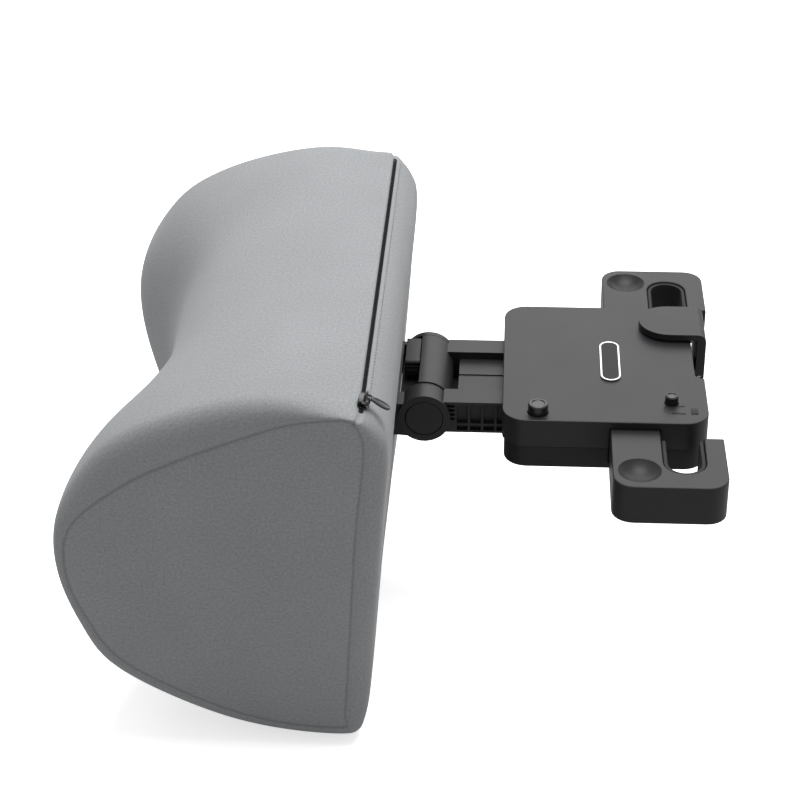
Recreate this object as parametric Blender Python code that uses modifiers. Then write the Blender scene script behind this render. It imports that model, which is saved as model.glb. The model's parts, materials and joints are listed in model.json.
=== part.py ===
# Car neck pillow on an adjustable bracket that clamps to the two posts of a seat's headrest.
# Origin midway between the posts at the height of the jaws, +Z up, the person's head towards -X.

import math

import bmesh
import bpy
from mathutils import Matrix, Vector

MM = 0.001

# Clearances
SEAT = 0.3 * MM
RUN = 0.4 * MM
CUT_PAST = 1.0 * MM
JOIN_LAP = 1.0 * MM
WELD = 0.005 * MM

# Clamp jaws
JAW_TOP = 10.0 * MM
JAW_BOTTOM = -10.0 * MM
POST_SLOT_HALF = 10.15 * MM
JAW_ARM_WIDTH = 24.0 * MM
JAW_FINGER_WIDTH = 9.75 * MM
JAW_REACH = 108.0 * MM
JAW_END_WALL = 12.2 * MM
JAW_FINGER_TIP = 63.7 * MM
JAW_GUIDE_END = 36.0 * MM
JAW_CORNER = 10.0 * MM
JAW_EDGE = 0.8 * MM
DIMPLE_RADIUS = 10.3 * MM
DIMPLE_DEPTH = 4.6 * MM
DIMPLE_FROM_END = 14.5 * MM
DIMPLE_OFFSET = 0.7 * MM
LINER_WALL = 1.8 * MM
LINER_SINK = 0.8 * MM
LINER_MOUTH = 2.0 * MM

# Rack and pinion between the jaws
TOOTH_MODULE = 1.0 * MM
PINION_TEETH = 10
RACK_TAIL_PAST = 20.0 * MM
RACK_HEIGHT = 8.0 * MM
RACK_BACKLASH = 0.45 * MM
PINION_PIN_RADIUS = 1.5 * MM

# Clamp housing
BOX_LENGTH = 100.0 * MM
BOX_WIDTH = 115.6 * MM
BOX_REAR = 13.7 * MM
BOX_CORNER = 11.5 * MM
BOX_EDGE = 0.8 * MM
HEADROOM = 1.8 * MM
COVER_WALL = 2.2 * MM
FLOOR_WALL = 2.9 * MM
PARTING = -0.8 * MM
LOWER_INSET = 0.5 * MM
REAR_WALL = 2.2 * MM
NOTCH_DEPTH = 4.7 * MM
NOTCH_NEAR = -14.5 * MM
NOTCH_CORNER = 4.0 * MM
SCREW_RADIUS = 1.25 * MM
SCREW_HEAD_RADIUS = 2.7 * MM
SCREW_HEAD_HEIGHT = 1.4 * MM
BOSS_RADIUS = 3.2 * MM
BOSS_JOIN = 3.0 * MM
SCREW_GRIP = 5.0 * MM
GUIDE_WIDTH = 5.0 * MM
GUIDE_END = 4.0 * MM
BOSS_FRONT_Y = 39.0 * MM
BOSS_FRONT_INSET = 6.3 * MM
BOSS_REAR_Y = 50.0 * MM
BOSS_REAR_X = 1.2 * MM
BADGE_X = -32.8 * MM
BADGE_WIDTH = 10.0 * MM
BADGE_LENGTH = 39.0 * MM
BADGE_HEIGHT = 0.9 * MM
BADGE_RIM = 0.9 * MM
BADGE_RECESS = 0.3 * MM

# Flip lever
LEVER_WIDTH = 30.6 * MM
LEVER_CENTRE_Y = 36.8 * MM
LEVER_TIP_X = -17.0 * MM
LEVER_THICK = 3.4 * MM
LEVER_LEG = 4.6 * MM
LEVER_PROUD = 3.3 * MM
LEVER_LIFT = 1.0 * MM
LEVER_BEND = 4.5 * MM
LEVER_PIVOT_Z = -7.0 * MM
LEVER_BOSS_RADIUS = 2.3 * MM
LEVER_LUG = 8.0 * MM
LEVER_PIN_RADIUS = 1.2 * MM
LEVER_PIN_INSET = 2.0 * MM

# Push buttons on the housing
BUTTON_FROM_FRONT = 17.3 * MM
BUTTON_FROM_SIDE = 8.2 * MM
BUTTON_RADIUS = 4.9 * MM
BUTTON_RISE = 5.0 * MM
BUTTON_DISH = 3.0 * MM
BUTTON_COLLAR = 0.8 * MM
COLLAR_HEIGHT = 1.2 * MM
DISH_DEPTH = 0.5 * MM
DISH_SLOPE = 0.4 * MM
BUTTON_EDGE = 0.6 * MM
STEM_RADIUS = 2.6 * MM
STEM_END = -2.0 * MM
PIN_FROM_REAR = 17.7 * MM
PIN_FROM_SIDE = 19.3 * MM
PIN_RADIUS = 3.25 * MM
PIN_RISE = 4.4 * MM
PIN_DISH = 1.9 * MM
SPRING_WIRE = 0.35 * MM
SPRING_RADIUS = 2.0 * MM
SPRING_TURNS = 4

# Extension arm
ARM_HALF = 31.6 * MM
ARM_TOP = 7.4 * MM
ARM_HEIGHT = 17.3 * MM
ARM_RAIL = 13.0 * MM
ARM_CHANNEL = 4.0 * MM
ARM_INNER_END = -57.0 * MM
ARM_STEP = 0.5 * MM
ARM_STEP_Y = 3.0 * MM
ARM_LIP = 1.6 * MM
ARM_SIDE_DEPTH = 2.6 * MM
ARM_RIB = 1.2 * MM
ARM_RIB_PITCH = 6.6 * MM
ARM_LEDGE = 4.6 * MM
ARM_FIN = 0.9 * MM
ARM_FIN_PITCH = 2.4 * MM
ARM_FIN_LENGTH = 3.6 * MM
ARM_CORE_DEPTH = 9.0 * MM
ARM_CORE_COUNT = 4
ARM_WEB = 1.8 * MM

# Tilt hinge
HINGE_FROM_BOX = 38.7 * MM
HINGE_RADIUS = 13.0 * MM
HINGE_SPLIT = -19.3 * MM
HINGE_FAR = 28.0 * MM
KNUCKLE_RADIUS = 12.4 * MM
KNUCKLE_FLANGE = 1.8 * MM
AXLE_RADIUS = 3.0 * MM
HINGE_FLAT = 3.4 * MM
GAP_BEHIND_BARREL = 3.2 * MM
AXLE_INSET = 1.0 * MM
HINGE_BUTTON_RADIUS = 9.3 * MM
HINGE_BUTTON_THICK = 3.0 * MM
HINGE_BUTTON_TRAVEL = 2.0 * MM

# Tilt release tab
TAB_WIDTH = 7.6 * MM
TAB_LENGTH = 24.6 * MM
TAB_TOP = 11.6 * MM
TAB_BODY = 8.4 * MM
TAB_TRAVEL = 2.5 * MM
TAB_STEM = 3.0 * MM
TAB_STEM_LENGTH = 16.0 * MM
TAB_STEM_DEPTH = 6.0 * MM
TAB_GROOVE = 0.9 * MM
TAB_STEP_COUNT = 4

# Bracket on the pillow
REST_LEAN = math.radians(4.6)
BRIDGE_TOP = 6.0 * MM
BRIDGE_BOTTOM = -12.0 * MM
FLANGE_WALL = 3.2 * MM
FLANGE_HALF = 44.0 * MM
FLANGE_UP = 26.0 * MM
FLANGE_DOWN = 34.0 * MM
BOARD_WALL = 3.4 * MM
BOARD_HALF = 88.0 * MM
BOARD_UP = 40.0 * MM
BOARD_DOWN = 80.0 * MM
BOARD_SCREW_Y = 37.0 * MM
BOARD_SCREW_RADIUS = 1.6 * MM
BOARD_SCREW_HEAD = 3.4 * MM

# Pillow, in a frame on the hinge axis whose back face is upright
PILLOW_BACK = 14.0 * MM
PILLOW_DEPTH = 151.0 * MM
PILLOW_HEIGHT = 195.0 * MM
COVER_CLOTH = 1.2 * MM
LOBE_SHARE = 0.87
LOBE_SPREAD = 1.9
END_SEAM = 138.0 * MM
END_BULGE = 5.0 * MM
RING_STEP_COUNT = 2
SLIT_TOP = 8.0 * MM
SLIT_BOTTOM = -14.0 * MM
SLIT_NEAR = -44.0 * MM
SLIT_FAR = 34.0 * MM

# Sections through the pillow: shares of its depth from the back face, of its height from the hinge
WAIST = ((0.000, 0.000), (0.000, 0.205), (0.026, 0.277), (0.073, 0.308), (0.116, 0.315), (0.159, 0.321),
         (0.318, 0.323), (0.510, 0.297), (0.682, 0.215), (0.755, 0.077), (0.788, -0.082),
         (0.781, -0.256), (0.755, -0.426), (0.603, -0.554), (0.351, -0.610), (0.093, -0.621),
         (0.013, -0.574), (0.000, -0.256))
LOBE = ((0.000, 0.000), (0.000, 0.205), (0.026, 0.277), (0.073, 0.308), (0.116, 0.315), (0.159, 0.321),
        (0.318, 0.369), (0.576, 0.344), (0.788, 0.256), (0.914, 0.123), (1.000, -0.051), (0.987, -0.200),
        (0.914, -0.354), (0.788, -0.503), (0.430, -0.615), (0.106, -0.631), (0.013, -0.574),
        (0.000, -0.256))
SEAM = ((0.079, 0.010), (0.073, 0.179), (0.076, 0.256), (0.099, 0.300), (0.126, 0.313), (0.172, 0.310),
        (0.305, 0.279), (0.464, 0.221), (0.642, 0.146), (0.788, 0.072), (0.947, -0.051), (0.980, -0.185),
        (0.921, -0.323), (0.781, -0.451), (0.397, -0.564), (0.086, -0.579), (0.070, -0.523),
        (0.073, -0.308))

# Zip along the upper back edge
ZIP_HALF = 133.0 * MM
ZIP_FROM_BACK = 14.0 * MM
ZIP_WIDTH = 4.4 * MM
ZIP_THICK = 0.8 * MM
ZIP_TEETH = 1.0 * MM
ZIP_TEETH_RISE = 0.6 * MM
ZIP_TEETH_END = 1.0 * MM
SLIDER_FROM_END = 6.0 * MM
SLIDER_LUG = 0.7 * MM
SLIDER_LENGTH = 9.0 * MM
SLIDER_WIDTH = 5.4 * MM
SLIDER_THICK = 2.6 * MM
PULLER_LENGTH = 13.0 * MM
PULLER_WIDTH = 5.0 * MM
PULLER_THICK = 1.2 * MM
PULLER_PIN = 0.5 * MM
PULLER_PIN_INSET = 0.5 * MM
PULLER_HANG = math.radians(28.0)

# Values that follow from the ones above
BOX_FRONT = BOX_REAR - BOX_LENGTH
BOX_TOP = JAW_TOP + HEADROOM + COVER_WALL
CEILING = BOX_TOP - COVER_WALL
FLOOR = JAW_BOTTOM - SEAT
BOX_BOTTOM = FLOOR - FLOOR_WALL
BOX_HALF = BOX_WIDTH / 2
BUTTON_X = BOX_FRONT + BUTTON_FROM_FRONT
BUTTON_Y = -BOX_HALF + BUTTON_FROM_SIDE
PIN_X = BOX_REAR - PIN_FROM_REAR
PIN_Y = -BOX_HALF + PIN_FROM_SIDE
CAVITY_FRONT = BOX_FRONT + COVER_WALL
CAVITY_REAR = BOX_REAR - NOTCH_DEPTH - REAR_WALL
CAVITY_HALF = BOX_HALF - COVER_WALL
NOTCH_FAR = LEVER_CENTRE_Y + LEVER_WIDTH / 2 + RUN
JAW_FRONT = -POST_SLOT_HALF - JAW_ARM_WIDTH
JAW_REAR = POST_SLOT_HALF + JAW_FINGER_WIDTH
SLOT_CENTRE = JAW_REACH - JAW_END_WALL - POST_SLOT_HALF
PINION_X = (JAW_FRONT - POST_SLOT_HALF) / 2
PITCH_RADIUS = TOOTH_MODULE * PINION_TEETH / 2
TOOTH_PITCH = math.pi * TOOTH_MODULE
HINGE_X = BOX_FRONT - HINGE_FROM_BOX
ARM_BOTTOM = ARM_TOP - ARM_HEIGHT
HINGE_Z = ARM_TOP - ARM_HEIGHT / 2
ARM_FLOOR = ARM_TOP - ARM_CHANNEL
LEVER_REAR = BOX_REAR + LEVER_PROUD
LEVER_PIVOT_X = LEVER_REAR - LEVER_LEG / 2
LUG_FAR = ARM_HALF
LUG_NEAR = HINGE_FAR + SEAT
KNUCKLE_FACE = -ARM_HALF - SEAT - KNUCKLE_FLANGE
BRIDGE_FACE = HINGE_RADIUS + RUN
LOBE_Y = END_SEAM * LOBE_SHARE


def make_collection(name):
    collection = bpy.data.collections.new(name)
    bpy.context.scene.collection.children.link(collection)
    return collection


def clear_scene():
    for obj in list(bpy.data.objects):
        bpy.data.objects.remove(obj, do_unlink=True)
    for collection in list(bpy.data.collections):
        bpy.data.collections.remove(collection)


clear_scene()
PARTS = make_collection("car_headrest_pillow")
CUTTERS = make_collection("cutters")


def make_material(name, colour, roughness, metallic=0.0):
    material = bpy.data.materials.new(name)
    material.use_nodes = True
    shader = material.node_tree.nodes["Principled BSDF"]
    shader.inputs["Base Color"].default_value = (*colour, 1.0)
    shader.inputs["Roughness"].default_value = roughness
    shader.inputs["Metallic"].default_value = metallic
    material.diffuse_color = (*colour, 1.0)
    return material


BLACK_PLASTIC = (0.028, 0.028, 0.030)
STEEL = (0.55, 0.56, 0.58)
GREY_CLOTH = (0.30, 0.31, 0.32)


def finish(obj, colour, roughness, metallic=0.0, smooth=True):
    obj.data.materials.clear()
    obj.data.materials.append(make_material(obj.name + "_material", colour, roughness, metallic))
    if smooth:
        obj.data.shade_smooth()
        obj.data.set_sharp_from_angle(angle=math.radians(35))
    return obj


def add_object(name, mesh, collection):
    obj = bpy.data.objects.new(name, mesh)
    collection.objects.link(obj)
    if collection is CUTTERS:
        obj.hide_render = True
        obj.display_type = "WIRE"
    return obj


def mesh_object(name, bm, collection):
    bmesh.ops.recalc_face_normals(bm, faces=bm.faces[:])
    mesh = bpy.data.meshes.new(name)
    bm.to_mesh(mesh)
    bm.free()
    return add_object(name, mesh, collection)


def block(name, low, high, collection=PARTS):
    """A box between two corners."""
    bm = bmesh.new()
    size = Vector(high) - Vector(low)
    middle = (Vector(high) + Vector(low)) / 2
    bmesh.ops.create_cube(bm, size=1.0, matrix=Matrix.Translation(middle) @ Matrix.Diagonal((*size, 1.0)))
    return mesh_object(name, bm, collection)


AXIS_TURN = {"X": Matrix.Rotation(math.radians(90), 4, "Y"),
             "Y": Matrix.Rotation(math.radians(-90), 4, "X"),
             "Z": Matrix.Identity(4)}


def cylinder(name, axis, centre, radius, length, sides=32, top_radius=None, collection=PARTS):
    """A cylinder or cone about the given axis; top_radius is the radius at its + end."""
    bm = bmesh.new()
    top = radius if top_radius is None else top_radius
    bmesh.ops.create_cone(bm, cap_ends=True, segments=sides, radius1=radius, radius2=top, depth=length,
                          matrix=Matrix.Translation(centre) @ AXIS_TURN[axis])
    return mesh_object(name, bm, collection)


def arc(centre, radius, start, end, steps):
    """Points on an arc, with angles in degrees."""
    points = []
    for i in range(steps + 1):
        angle = math.radians(start + (end - start) * i / steps)
        points.append((centre[0] + radius * math.cos(angle), centre[1] + radius * math.sin(angle)))
    return points


def prism(name, outline, low, high, axis="Z", collection=PARTS):
    """A flat outline made as a filled 2D curve and extruded between two levels along an axis.

    Along Z the outline is (x, y), along Y it is (x, z) and along X it is (y, z).
    """
    curve = bpy.data.curves.new(name, "CURVE")
    curve.dimensions = "2D"
    curve.fill_mode = "BOTH"
    curve.extrude = (high - low) / 2
    spline = curve.splines.new("POLY")
    spline.points.add(len(outline) - 1)
    for point, (u, v) in zip(spline.points, outline):
        point.co = (u, v, 0.0, 1.0)
    spline.use_cyclic_u = True
    drawn = bpy.data.objects.new(name + "_outline", curve)
    CUTTERS.objects.link(drawn)
    bpy.context.view_layer.update()
    evaluated = drawn.evaluated_get(bpy.context.evaluated_depsgraph_get())
    mesh = bpy.data.meshes.new_from_object(evaluated)
    bpy.data.objects.remove(drawn, do_unlink=True)
    middle = (low + high) / 2
    if axis == "Z":
        turn = Matrix.Translation((0, 0, middle))
    elif axis == "Y":
        turn = Matrix.Translation((0, middle, 0)) @ Matrix.Rotation(math.radians(90), 4, "X")
    else:
        turn = Matrix(((0, 0, 1, middle), (1, 0, 0, 0), (0, 1, 0, 0), (0, 0, 0, 1)))
    bm = bmesh.new()
    bm.from_mesh(mesh)
    bpy.data.meshes.remove(mesh)
    bmesh.ops.remove_doubles(bm, verts=bm.verts[:], dist=WELD)
    bmesh.ops.transform(bm, matrix=turn, verts=bm.verts[:])
    return mesh_object(name, bm, collection)


def rounded_outline(low, high, radius, steps=6):
    """A rectangle with round corners."""
    x0, y0 = low
    x1, y1 = high
    points = arc((x1 - radius, y1 - radius), radius, 0, 90, steps)
    points += arc((x0 + radius, y1 - radius), radius, 90, 180, steps)
    points += arc((x0 + radius, y0 + radius), radius, 180, 270, steps)
    points += arc((x1 - radius, y0 + radius), radius, 270, 360, steps)
    return points


def bevel_level_edges(obj, level, width, segments=2):
    """Rounds the sharp edges that lie in one horizontal plane."""
    bm = bmesh.new()
    bm.from_mesh(obj.data)
    edges = []
    for edge in bm.edges:
        flat = all(abs(vert.co.z - level) < 2 * WELD for vert in edge.verts)
        if flat and edge.calc_face_angle(0.0) > math.radians(40):
            edges.append(edge)
    bmesh.ops.bevel(bm, geom=edges, offset=width, segments=segments, affect="EDGES", profile=0.5, material=-1)
    bm.to_mesh(obj.data)
    bm.free()
    return obj


def boolean(obj, other, operation):
    if other.name not in CUTTERS.objects:
        for collection in list(other.users_collection):
            collection.objects.unlink(other)
        CUTTERS.objects.link(other)
        other.hide_render = True
        other.display_type = "WIRE"
    modifier = obj.modifiers.new(operation.lower(), "BOOLEAN")
    modifier.operation = operation
    modifier.object = other
    modifier.solver = "EXACT"
    return obj


def cut(obj, cutter):
    return boolean(obj, cutter, "DIFFERENCE")


def join(obj, addition):
    return boolean(obj, addition, "UNION")


def cut_block(obj, low, high):
    return cut(obj, block(obj.name + "_cut", low, high, CUTTERS))


def cut_round(obj, axis, centre, radius, length, sides=24):
    return cut(obj, cylinder(obj.name + "_bore", axis, centre, radius, length, sides, collection=CUTTERS))


def apply_modifiers(obj):
    """Turns an object with modifiers into a plain mesh."""
    bpy.context.view_layer.update()
    evaluated = obj.evaluated_get(bpy.context.evaluated_depsgraph_get())
    mesh = bpy.data.meshes.new_from_object(evaluated)
    obj.modifiers.clear()
    old = obj.data
    obj.data = mesh
    bpy.data.meshes.remove(old)
    return obj


def set_origin(obj, origin):
    """Moves an object's origin, its shape staying where it is."""
    obj.data.transform(Matrix.Translation(-Vector(origin)))
    obj.location = origin
    return obj


def turned(name, points, centre, sides=32):
    """A solid turned about the vertical line through centre, from (radius, height) points, top to bottom."""
    mesh = bpy.data.meshes.new(name)
    bm = bmesh.new()
    verts = [bm.verts.new((radius, 0.0, height)) for radius, height in points]
    for first, second in zip(verts, verts[1:]):
        bm.edges.new((first, second))
    bm.to_mesh(mesh)
    bm.free()
    obj = add_object(name, mesh, PARTS)
    screw = obj.modifiers.new("screw", "SCREW")
    screw.steps = sides
    screw.render_steps = sides
    screw.use_merge_vertices = True
    screw.merge_threshold = 2 * WELD
    apply_modifiers(obj)
    obj.location = centre
    return obj


def make_pivot(name, location, rotation=(0.0, 0.0, 0.0), parent=None):
    pivot = bpy.data.objects.new(name, None)
    pivot.empty_display_size = HINGE_RADIUS
    pivot.location = location
    pivot.rotation_euler = rotation
    PARTS.objects.link(pivot)
    if parent:
        pivot.parent = parent
    return pivot


def hang(pivot, *objects):
    """Parents objects that were modelled in world coordinates to an unturned pivot."""
    base = pivot.location.copy()
    parent = pivot.parent
    while parent:
        base += parent.location
        parent = parent.parent
    for obj in objects:
        obj.parent = pivot
        obj.location = obj.location - base


# Clamp housing: two moulded covers closed by four screws from below

def boss_places():
    front = BOX_FRONT + BOSS_FRONT_INSET
    return [(front, BOSS_FRONT_Y), (front, -BOSS_FRONT_Y),
            (BOSS_REAR_X, BOSS_REAR_Y), (BOSS_REAR_X, -BOSS_REAR_Y)]


def cut_side_windows(cover):
    """Openings for the arm in the front wall and for the jaws in both side walls."""
    cut_block(cover, (BOX_FRONT - COVER_WALL, -ARM_HALF - RUN, ARM_BOTTOM - SEAT),
              (CAVITY_FRONT + COVER_WALL, ARM_HALF + RUN, ARM_TOP + SEAT))
    for side in (-1, 1):
        near = side * (CAVITY_HALF - COVER_WALL)
        far = side * (BOX_HALF + COVER_WALL)
        cut_block(cover, (JAW_FRONT - RUN, min(near, far), JAW_BOTTOM - SEAT),
                  (-POST_SLOT_HALF + RUN, max(near, far), JAW_TOP + RUN))


def notch_outline():
    """The recess in the rear wall that the flip lever folds into."""
    inner = BOX_REAR - NOTCH_DEPTH
    outer = BOX_REAR + NOTCH_DEPTH
    points = [(outer, NOTCH_NEAR), (outer, NOTCH_FAR), (inner, NOTCH_FAR)]
    points += arc((inner + NOTCH_CORNER, NOTCH_NEAR + NOTCH_CORNER), NOTCH_CORNER, 180, 270, 5)
    return points


def cavity_outline():
    return rounded_outline((CAVITY_FRONT, -CAVITY_HALF), (CAVITY_REAR, CAVITY_HALF), BOX_CORNER - COVER_WALL)


def cut_notch(cover):
    cut(cover, prism(cover.name + "_notch", notch_outline(), BOX_BOTTOM - CUT_PAST, BOX_TOP + CUT_PAST,
                     collection=CUTTERS))


def make_top_cover():
    outline = rounded_outline((BOX_FRONT, -BOX_HALF), (BOX_REAR, BOX_HALF), BOX_CORNER)
    cover = prism("top_cover", outline, PARTING, BOX_TOP)
    bevel_level_edges(cover, BOX_TOP, BOX_EDGE)
    cut(cover, prism("top_cover_hollow", cavity_outline(), PARTING - COVER_WALL, CEILING, collection=CUTTERS))
    cut_notch(cover)
    for side in (-1, 1):
        near = side * (ARM_HALF - ARM_RAIL / 2) - GUIDE_WIDTH / 2
        join(cover, block("arm_guide", (CAVITY_FRONT - JOIN_LAP, near, ARM_TOP + SEAT),
                          (JAW_FRONT - GUIDE_END, near + GUIDE_WIDTH, CEILING + JOIN_LAP)))
    low = BOSS_JOIN + SEAT
    high = CEILING + JOIN_LAP
    for x, y in boss_places():
        join(cover, cylinder("upper_boss", "Z", (x, y, (low + high) / 2), BOSS_RADIUS, high - low, 20))
        cut_round(cover, "Z", (x, y, low), SCREW_RADIUS + SEAT, 2 * (SCREW_GRIP + COVER_WALL), 16)
    cut_side_windows(cover)
    cut_round(cover, "Z", (BUTTON_X, BUTTON_Y, BOX_TOP), BUTTON_RADIUS + SEAT, 4 * COVER_WALL)
    cut_round(cover, "Z", (PIN_X, PIN_Y, BOX_TOP), PIN_RADIUS + SEAT, 4 * COVER_WALL)
    return finish(cover, BLACK_PLASTIC, 0.42)


def make_bottom_cover():
    low = (BOX_FRONT + LOWER_INSET, -BOX_HALF + LOWER_INSET)
    high = (BOX_REAR - LOWER_INSET, BOX_HALF - LOWER_INSET)
    outline = rounded_outline(low, high, BOX_CORNER - LOWER_INSET)
    cover = prism("bottom_cover", outline, BOX_BOTTOM, PARTING - SEAT)
    bevel_level_edges(cover, BOX_BOTTOM, BOX_EDGE)
    cut(cover, prism("bottom_cover_hollow", cavity_outline(), FLOOR, PARTING + COVER_WALL,
                     collection=CUTTERS))
    cut_notch(cover)
    pivot = (LEVER_PIVOT_X, LEVER_CENTRE_Y, LEVER_PIVOT_Z)
    lug_start = BOX_REAR - NOTCH_DEPTH - JOIN_LAP
    half = LEVER_LUG / 2
    join(cover, block("lever_lug", (lug_start, LEVER_CENTRE_Y - half, LEVER_PIVOT_Z - LEVER_BOSS_RADIUS),
                      (LEVER_PIVOT_X, LEVER_CENTRE_Y + half, LEVER_PIVOT_Z + LEVER_BOSS_RADIUS)))
    join(cover, cylinder("lever_lug_end", "Y", pivot, LEVER_BOSS_RADIUS, LEVER_LUG, 24))
    cut_round(cover, "Y", pivot, LEVER_PIN_RADIUS + SEAT, 2 * LEVER_LUG, 16)
    low = FLOOR - JOIN_LAP
    high = JAW_BOTTOM + RACK_HEIGHT
    middle = (low + high) / 2
    join(cover, cylinder("pinion_post", "Z", (PINION_X, 0, middle), PINION_PIN_RADIUS, high - low, 16))
    head_depth = 2 * (SCREW_HEAD_HEIGHT + SEAT)
    for x, y in boss_places():
        middle = (low + BOSS_JOIN) / 2
        join(cover, cylinder("lower_boss", "Z", (x, y, middle), BOSS_RADIUS, BOSS_JOIN - low, 20))
        cut_round(cover, "Z", (x, y, 0), SCREW_RADIUS + SEAT, 2 * BOX_TOP - 2 * BOX_BOTTOM, 16)
        cut_round(cover, "Z", (x, y, BOX_BOTTOM), SCREW_HEAD_RADIUS + SEAT, head_depth, 20)
    cut_side_windows(cover)
    return finish(cover, BLACK_PLASTIC, 0.45)


def make_cover_screws():
    """Four screws from below, through the lower bosses into the upper ones."""
    head = BOX_BOTTOM + SCREW_HEAD_HEIGHT
    tip = BOSS_JOIN + SCREW_GRIP
    for i, (x, y) in enumerate(boss_places()):
        points = [(0, tip), (SCREW_RADIUS, tip), (SCREW_RADIUS, head), (SCREW_HEAD_RADIUS, head),
                  (SCREW_HEAD_RADIUS, BOX_BOTTOM), (0, BOX_BOTTOM)]
        screw = turned(f"cover_screw_{i + 1}", points, (x, y, 0), 16)
        finish(screw, STEEL, 0.35, 1.0)


def make_badge():
    """A bare stadium-shaped plate on the top cover."""
    half = BADGE_WIDTH / 2
    reach = BADGE_LENGTH / 2 - half
    outline = arc((BADGE_X, reach), half, 0, 180, 10) + arc((BADGE_X, -reach), half, 180, 360, 10)
    low = BOX_TOP + SEAT / 3
    badge = prism("badge_plate", outline, low, low + BADGE_HEIGHT)
    inner = half - BADGE_RIM
    recess = arc((BADGE_X, reach), inner, 0, 180, 10) + arc((BADGE_X, -reach), inner, 180, 360, 10)
    cut(badge, prism("badge_recess", recess, low + BADGE_HEIGHT - BADGE_RECESS, low + 2 * BADGE_HEIGHT,
                     collection=CUTTERS))
    return finish(badge, (0.02, 0.02, 0.02), 0.3, 0.2)


# Clamp jaws: a hooked block each, with a rack on its tail, moved by one pinion

def jaw_outline():
    """The right jaw seen from above: guide block, slot for the post and open finger."""
    points = [(JAW_FRONT, JAW_GUIDE_END), (-POST_SLOT_HALF, JAW_GUIDE_END)]
    points += arc((0.0, SLOT_CENTRE), POST_SLOT_HALF, 180, 0, 12)
    points += [(POST_SLOT_HALF, JAW_FINGER_TIP), (JAW_REAR, JAW_FINGER_TIP)]
    points += arc((JAW_REAR - JAW_CORNER, JAW_REACH - JAW_CORNER), JAW_CORNER, 0, 90, 6)
    points += arc((JAW_FRONT + JAW_CORNER, JAW_REACH - JAW_CORNER), JAW_CORNER, 90, 180, 6)
    return points


def rack_outline():
    """The right jaw's tail with its teeth facing -X towards the pinion."""
    pitch_x = PINION_X + PITCH_RADIUS
    tip = pitch_x - TOOTH_MODULE + RACK_BACKLASH / 2
    root = pitch_x + 1.25 * TOOTH_MODULE
    slope = math.tan(math.radians(20))
    half_tip = TOOTH_PITCH / 4 - TOOTH_MODULE * slope - RACK_BACKLASH / 2
    half_root = TOOTH_PITCH / 4 + 1.25 * TOOTH_MODULE * slope - RACK_BACKLASH / 2
    start = -RACK_TAIL_PAST
    end = JAW_GUIDE_END + JOIN_LAP
    points = [(-POST_SLOT_HALF, start), (-POST_SLOT_HALF, end), (root, end)]
    first = math.ceil((start + half_root) / TOOTH_PITCH - 0.5)
    last = math.floor((JAW_GUIDE_END - TOOTH_PITCH) / TOOTH_PITCH - 0.5)
    for k in range(last, first - 1, -1):
        y = (k + 0.5) * TOOTH_PITCH
        points += [(root, y + half_root), (tip, y + half_tip), (tip, y - half_tip), (root, y - half_root)]
    points.append((root, start))
    return points


def turn_half(obj):
    """Turns a shape modelled for +Y half a turn about the pinion's axis, to -Y."""
    centre = Vector((PINION_X, 0, 0))
    turn = Matrix.Rotation(math.pi, 4, "Z")
    obj.data.transform(Matrix.Translation(centre) @ turn @ Matrix.Translation(-centre))
    return obj


def mirror_y(obj):
    """Mirrors a plain mesh from the right side to the left."""
    bm = bmesh.new()
    bm.from_mesh(obj.data)
    bmesh.ops.transform(bm, matrix=Matrix.Diagonal((1, -1, 1, 1)), verts=bm.verts[:])
    bmesh.ops.reverse_faces(bm, faces=bm.faces[:])
    bm.to_mesh(obj.data)
    bm.free()
    return obj


def make_jaw(name, side):
    jaw = prism(name, jaw_outline(), JAW_BOTTOM, JAW_TOP)
    bevel_level_edges(jaw, JAW_TOP, JAW_EDGE)
    rack = prism(name + "_rack", rack_outline(), JAW_BOTTOM, JAW_BOTTOM + RACK_HEIGHT)
    dimple_x = JAW_FRONT + JAW_ARM_WIDTH / 2 + DIMPLE_OFFSET
    lift = (DIMPLE_RADIUS ** 2 - DIMPLE_DEPTH ** 2) / (2 * DIMPLE_DEPTH)
    ball_radius = math.hypot(lift, DIMPLE_RADIUS)
    centre = (dimple_x, JAW_REACH - DIMPLE_FROM_END, JAW_TOP + lift)
    bm = bmesh.new()
    bmesh.ops.create_uvsphere(bm, u_segments=28, v_segments=20, radius=ball_radius,
                              matrix=Matrix.Translation(centre))
    dimple = mesh_object(name + "_dimple", bm, CUTTERS)
    if side < 0:
        mirror_y(jaw)
        mirror_y(dimple)
        turn_half(rack)
    cut(jaw, dimple)
    join(jaw, rack)
    return finish(apply_modifiers(jaw), BLACK_PLASTIC, 0.45)


def liner_outline():
    outer = POST_SLOT_HALF - SEAT
    inner = outer - LINER_WALL
    mouth = JAW_FINGER_TIP + LINER_MOUTH
    points = [(outer, mouth)] + arc((0.0, SLOT_CENTRE), outer, 0, 180, 12) + [(-outer, mouth)]
    points += [(-inner, mouth)] + arc((0.0, SLOT_CENTRE), inner, 180, 0, 12) + [(inner, mouth)]
    return points


def make_liner(name, side):
    """The soft lining that grips the post inside the slot."""
    liner = prism(name, liner_outline(), JAW_BOTTOM + LINER_SINK, JAW_TOP - LINER_SINK)
    if side < 0:
        mirror_y(liner)
    return finish(liner, (0.012, 0.012, 0.012), 0.8)


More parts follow.
